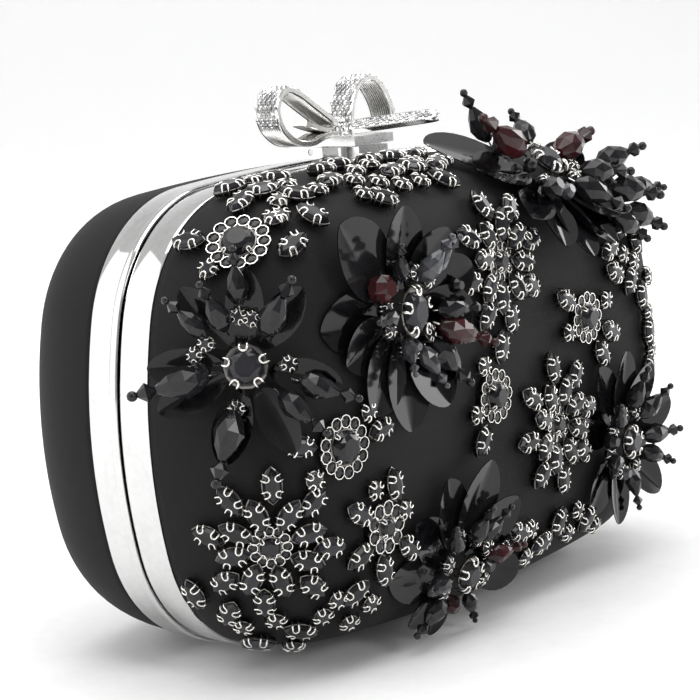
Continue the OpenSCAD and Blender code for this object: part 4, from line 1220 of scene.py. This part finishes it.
def makeRibbon(name, s, b):
    # The section carried along the curve, with stones on its outer face
    curve = smoothCurve(s["points"])
    out = leftOf(curve) * s["outside"]
    section = ribbonSection(s["width"], b["thick"])
    flat = np.stack([curve[:, 0], np.zeros(len(curve)), curve[:, 1]], axis=1)
    outward = np.stack([out[:, 0], np.zeros(len(out)), out[:, 1]], axis=1)
    rings = (flat[:, None] + section[None, :, :1] * np.array([0, 1, 0])
             + section[None, :, 1:] * outward[:, None])
    body = shadeGrooves(loft(rings if s["outside"] > 0 else rings[::-1], caps=True), len(section))
    body.smooth[:] = True
    parts = [body]
    if s["pave"]:
        places = paveOn(curve, out, s["pave"], s["width"], b["thick"], b["pave"])
        parts.append(stamp(paveStone, places))
    shape = merge(*parts)
    shape.points = shape.points + bowFoot
    piece = makePiece("bow_" + name + "_ribbon", shape, bowFinishes, "clasp", ["bow_" + name])
    splitEdges(piece, b["sharpEdge"])


def makeTail(b):
    # The flat tail: a plate with a bright rim, ribs beneath, a blunt rounded tip and stones on top
    section = ribbonSection(b["width"], b["thick"])
    tip, t = b["tailTip"], np.radians([30, 55, 75, 88])
    x = np.concatenate([[2.6], np.linspace(3.5, b["tailLength"] - tip, 12),
                        b["tailLength"] - tip + tip * np.sin(t)])
    narrow = np.ones(len(x))
    narrow[-len(t):] = np.cos(t) ** 0.5
    rings = np.stack([np.repeat(x[:, None], len(section), 1), section[None, :, 0] * narrow[:, None],
                      np.repeat(section[None, :, 1], len(x), 0) + b["thick"] / 2 - 0.2], axis=-1)
    plate = shadeGrooves(loft(rings, caps=True), len(section))
    places = []
    for k, along in enumerate(np.arange(3.6, b["tailLength"] - 1.4, b["pave"] * 0.9)):
        near = (b["tailLength"] - along) / tip
        half = (b["width"] / 2 - 0.9) * (math.sqrt(max(0, 1 - (1 - near) ** 2)) if near < 1 else 1)
        rows = max(1, int(2 * half / b["pave"]) + 1 - k % 2)
        height = b["thick"] * 0.8 - 0.2
        places += [shifted(along, (r - (rows - 1) / 2) * b["pave"], height) for r in range(rows)]
    shape = merge(flipped(plate), stamp(paveStone, places))
    place = (shifted(b["knot"][0] + 2.2, b["knot"][1], bowBase + b["tailLift"]) @ turned("z", b["tailTurn"])
             @ turned("y", -b["tailRise"]) @ turned("x", b["tailLean"]))
    shape.points = shape.points @ place[:3, :3].T + place[:3, 3]
    piece = makePiece("bow_tail_blade", shape, bowFinishes, "clasp", ["bow_right_tail"])
    splitEdges(piece, b["sharpEdge"])


def makeKnot():
    # A band wrapped over the loops' roots, rounded over the top and set with stones
    t = np.radians(np.linspace(0, 180, 15))
    arch = np.stack([np.cos(t) * 3.6, 0.2 + 3.7 * np.sin(t) ** 0.8], axis=1)
    across = [(-2.0, -0.5), (-2.05, 0.1), (-1.8, 0.35), (-1.5, 0.2),
              (1.5, 0.2), (1.8, 0.35), (2.05, 0.1), (2.0, -0.5)]
    rings = [[(x, y * (1 + lift / 4), z * (1 + lift / 4)) for x, lift in across] for y, z in arch]
    band = loft(rings, caps=True)
    places = []
    for k, angle in enumerate(np.arange(14, 170, 15)):
        y = math.cos(math.radians(angle)) * 3.7
        z = 0.2 + 3.8 * math.sin(math.radians(angle)) ** 0.8
        for x in (-1.05, 0, 1.05) if k % 2 else (-0.55, 0.55):
            places.append(shifted(x, y, z) @ turned("x", angle - 90))
    shape = merge(flipped(band), stamp(paveStone, places))
    shape.points = shape.points + bowFoot
    makePiece("bow_knot_band", shape, bowFinishes, "clasp", ["bow_knot"])


for curveName, curveValues in bowCurves.items():
    makeRibbon(curveName, curveValues, bowSettings)
makeTail(bowSettings)
makeKnot()
print("bow made")

# CAD parts that keep their own shape and take a finish
carried = {"rear_shell": "mouldedShell", "front_shell": "mouldedShell", "rear_hinge_leaf": "hingeSteel",
           "front_hinge_leaf": "hingeSteel", "hinge_pin": "hingeSteel", "clasp_bracket": "claspMetal",
           "clasp_pin": "hingeSteel", "clasp_keeper": "claspMetal", "clasp_plate": "claspMetal",
           "clasp_magnet": "magnetSteel"}
for nodeName, finishName in carried.items():
    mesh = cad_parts[nodeName].data
    mesh.materials.clear()
    mesh.materials.append(materials[finishName])
print("CAD parts finished:", len(carried))

floorSettings = {"half": 3.0, "back": 1.6, "bend": 0.8}  # metres


def makeFloorPiece(s):
    # A pale sweep: flat under the bag, bending up far behind it, square to the view
    t = np.radians(np.linspace(0, 80, 12))
    y = np.concatenate([[-s["half"]], s["back"] + s["bend"] * np.sin(t), [s["back"] + s["bend"] + 0.2]])
    z = np.concatenate([[0], s["bend"] * (1 - np.cos(t)), [3.0]])
    x = np.array([-s["half"], s["half"]])
    grid = np.stack([np.repeat(x[None], len(y), 0), np.repeat(y[:, None], 2, 1),
                     np.repeat(z[:, None], 2, 1)], axis=-1)
    mesh = bpy.data.meshes.new("floor")
    shape = loft(grid, closed=False)
    turn = math.radians(viewSettings["azimuth"])
    points = grid.reshape(-1, 3) @ np.array([[math.cos(turn), math.sin(turn), 0],
                                             [-math.sin(turn), math.cos(turn), 0], [0, 0, 1]])
    mesh.from_pydata(points.tolist(), [], shape.corners.reshape(-1, 4).tolist())
    mesh.materials.append(makeFloor())
    mesh.polygons.foreach_set("use_smooth", [True] * len(mesh.polygons))
    floor = bpy.data.objects.new("floor", mesh)
    bpy.context.scene.collection.objects.link(floor)


makeFloorPiece(floorSettings)
print("pieces made:", len(pieces))
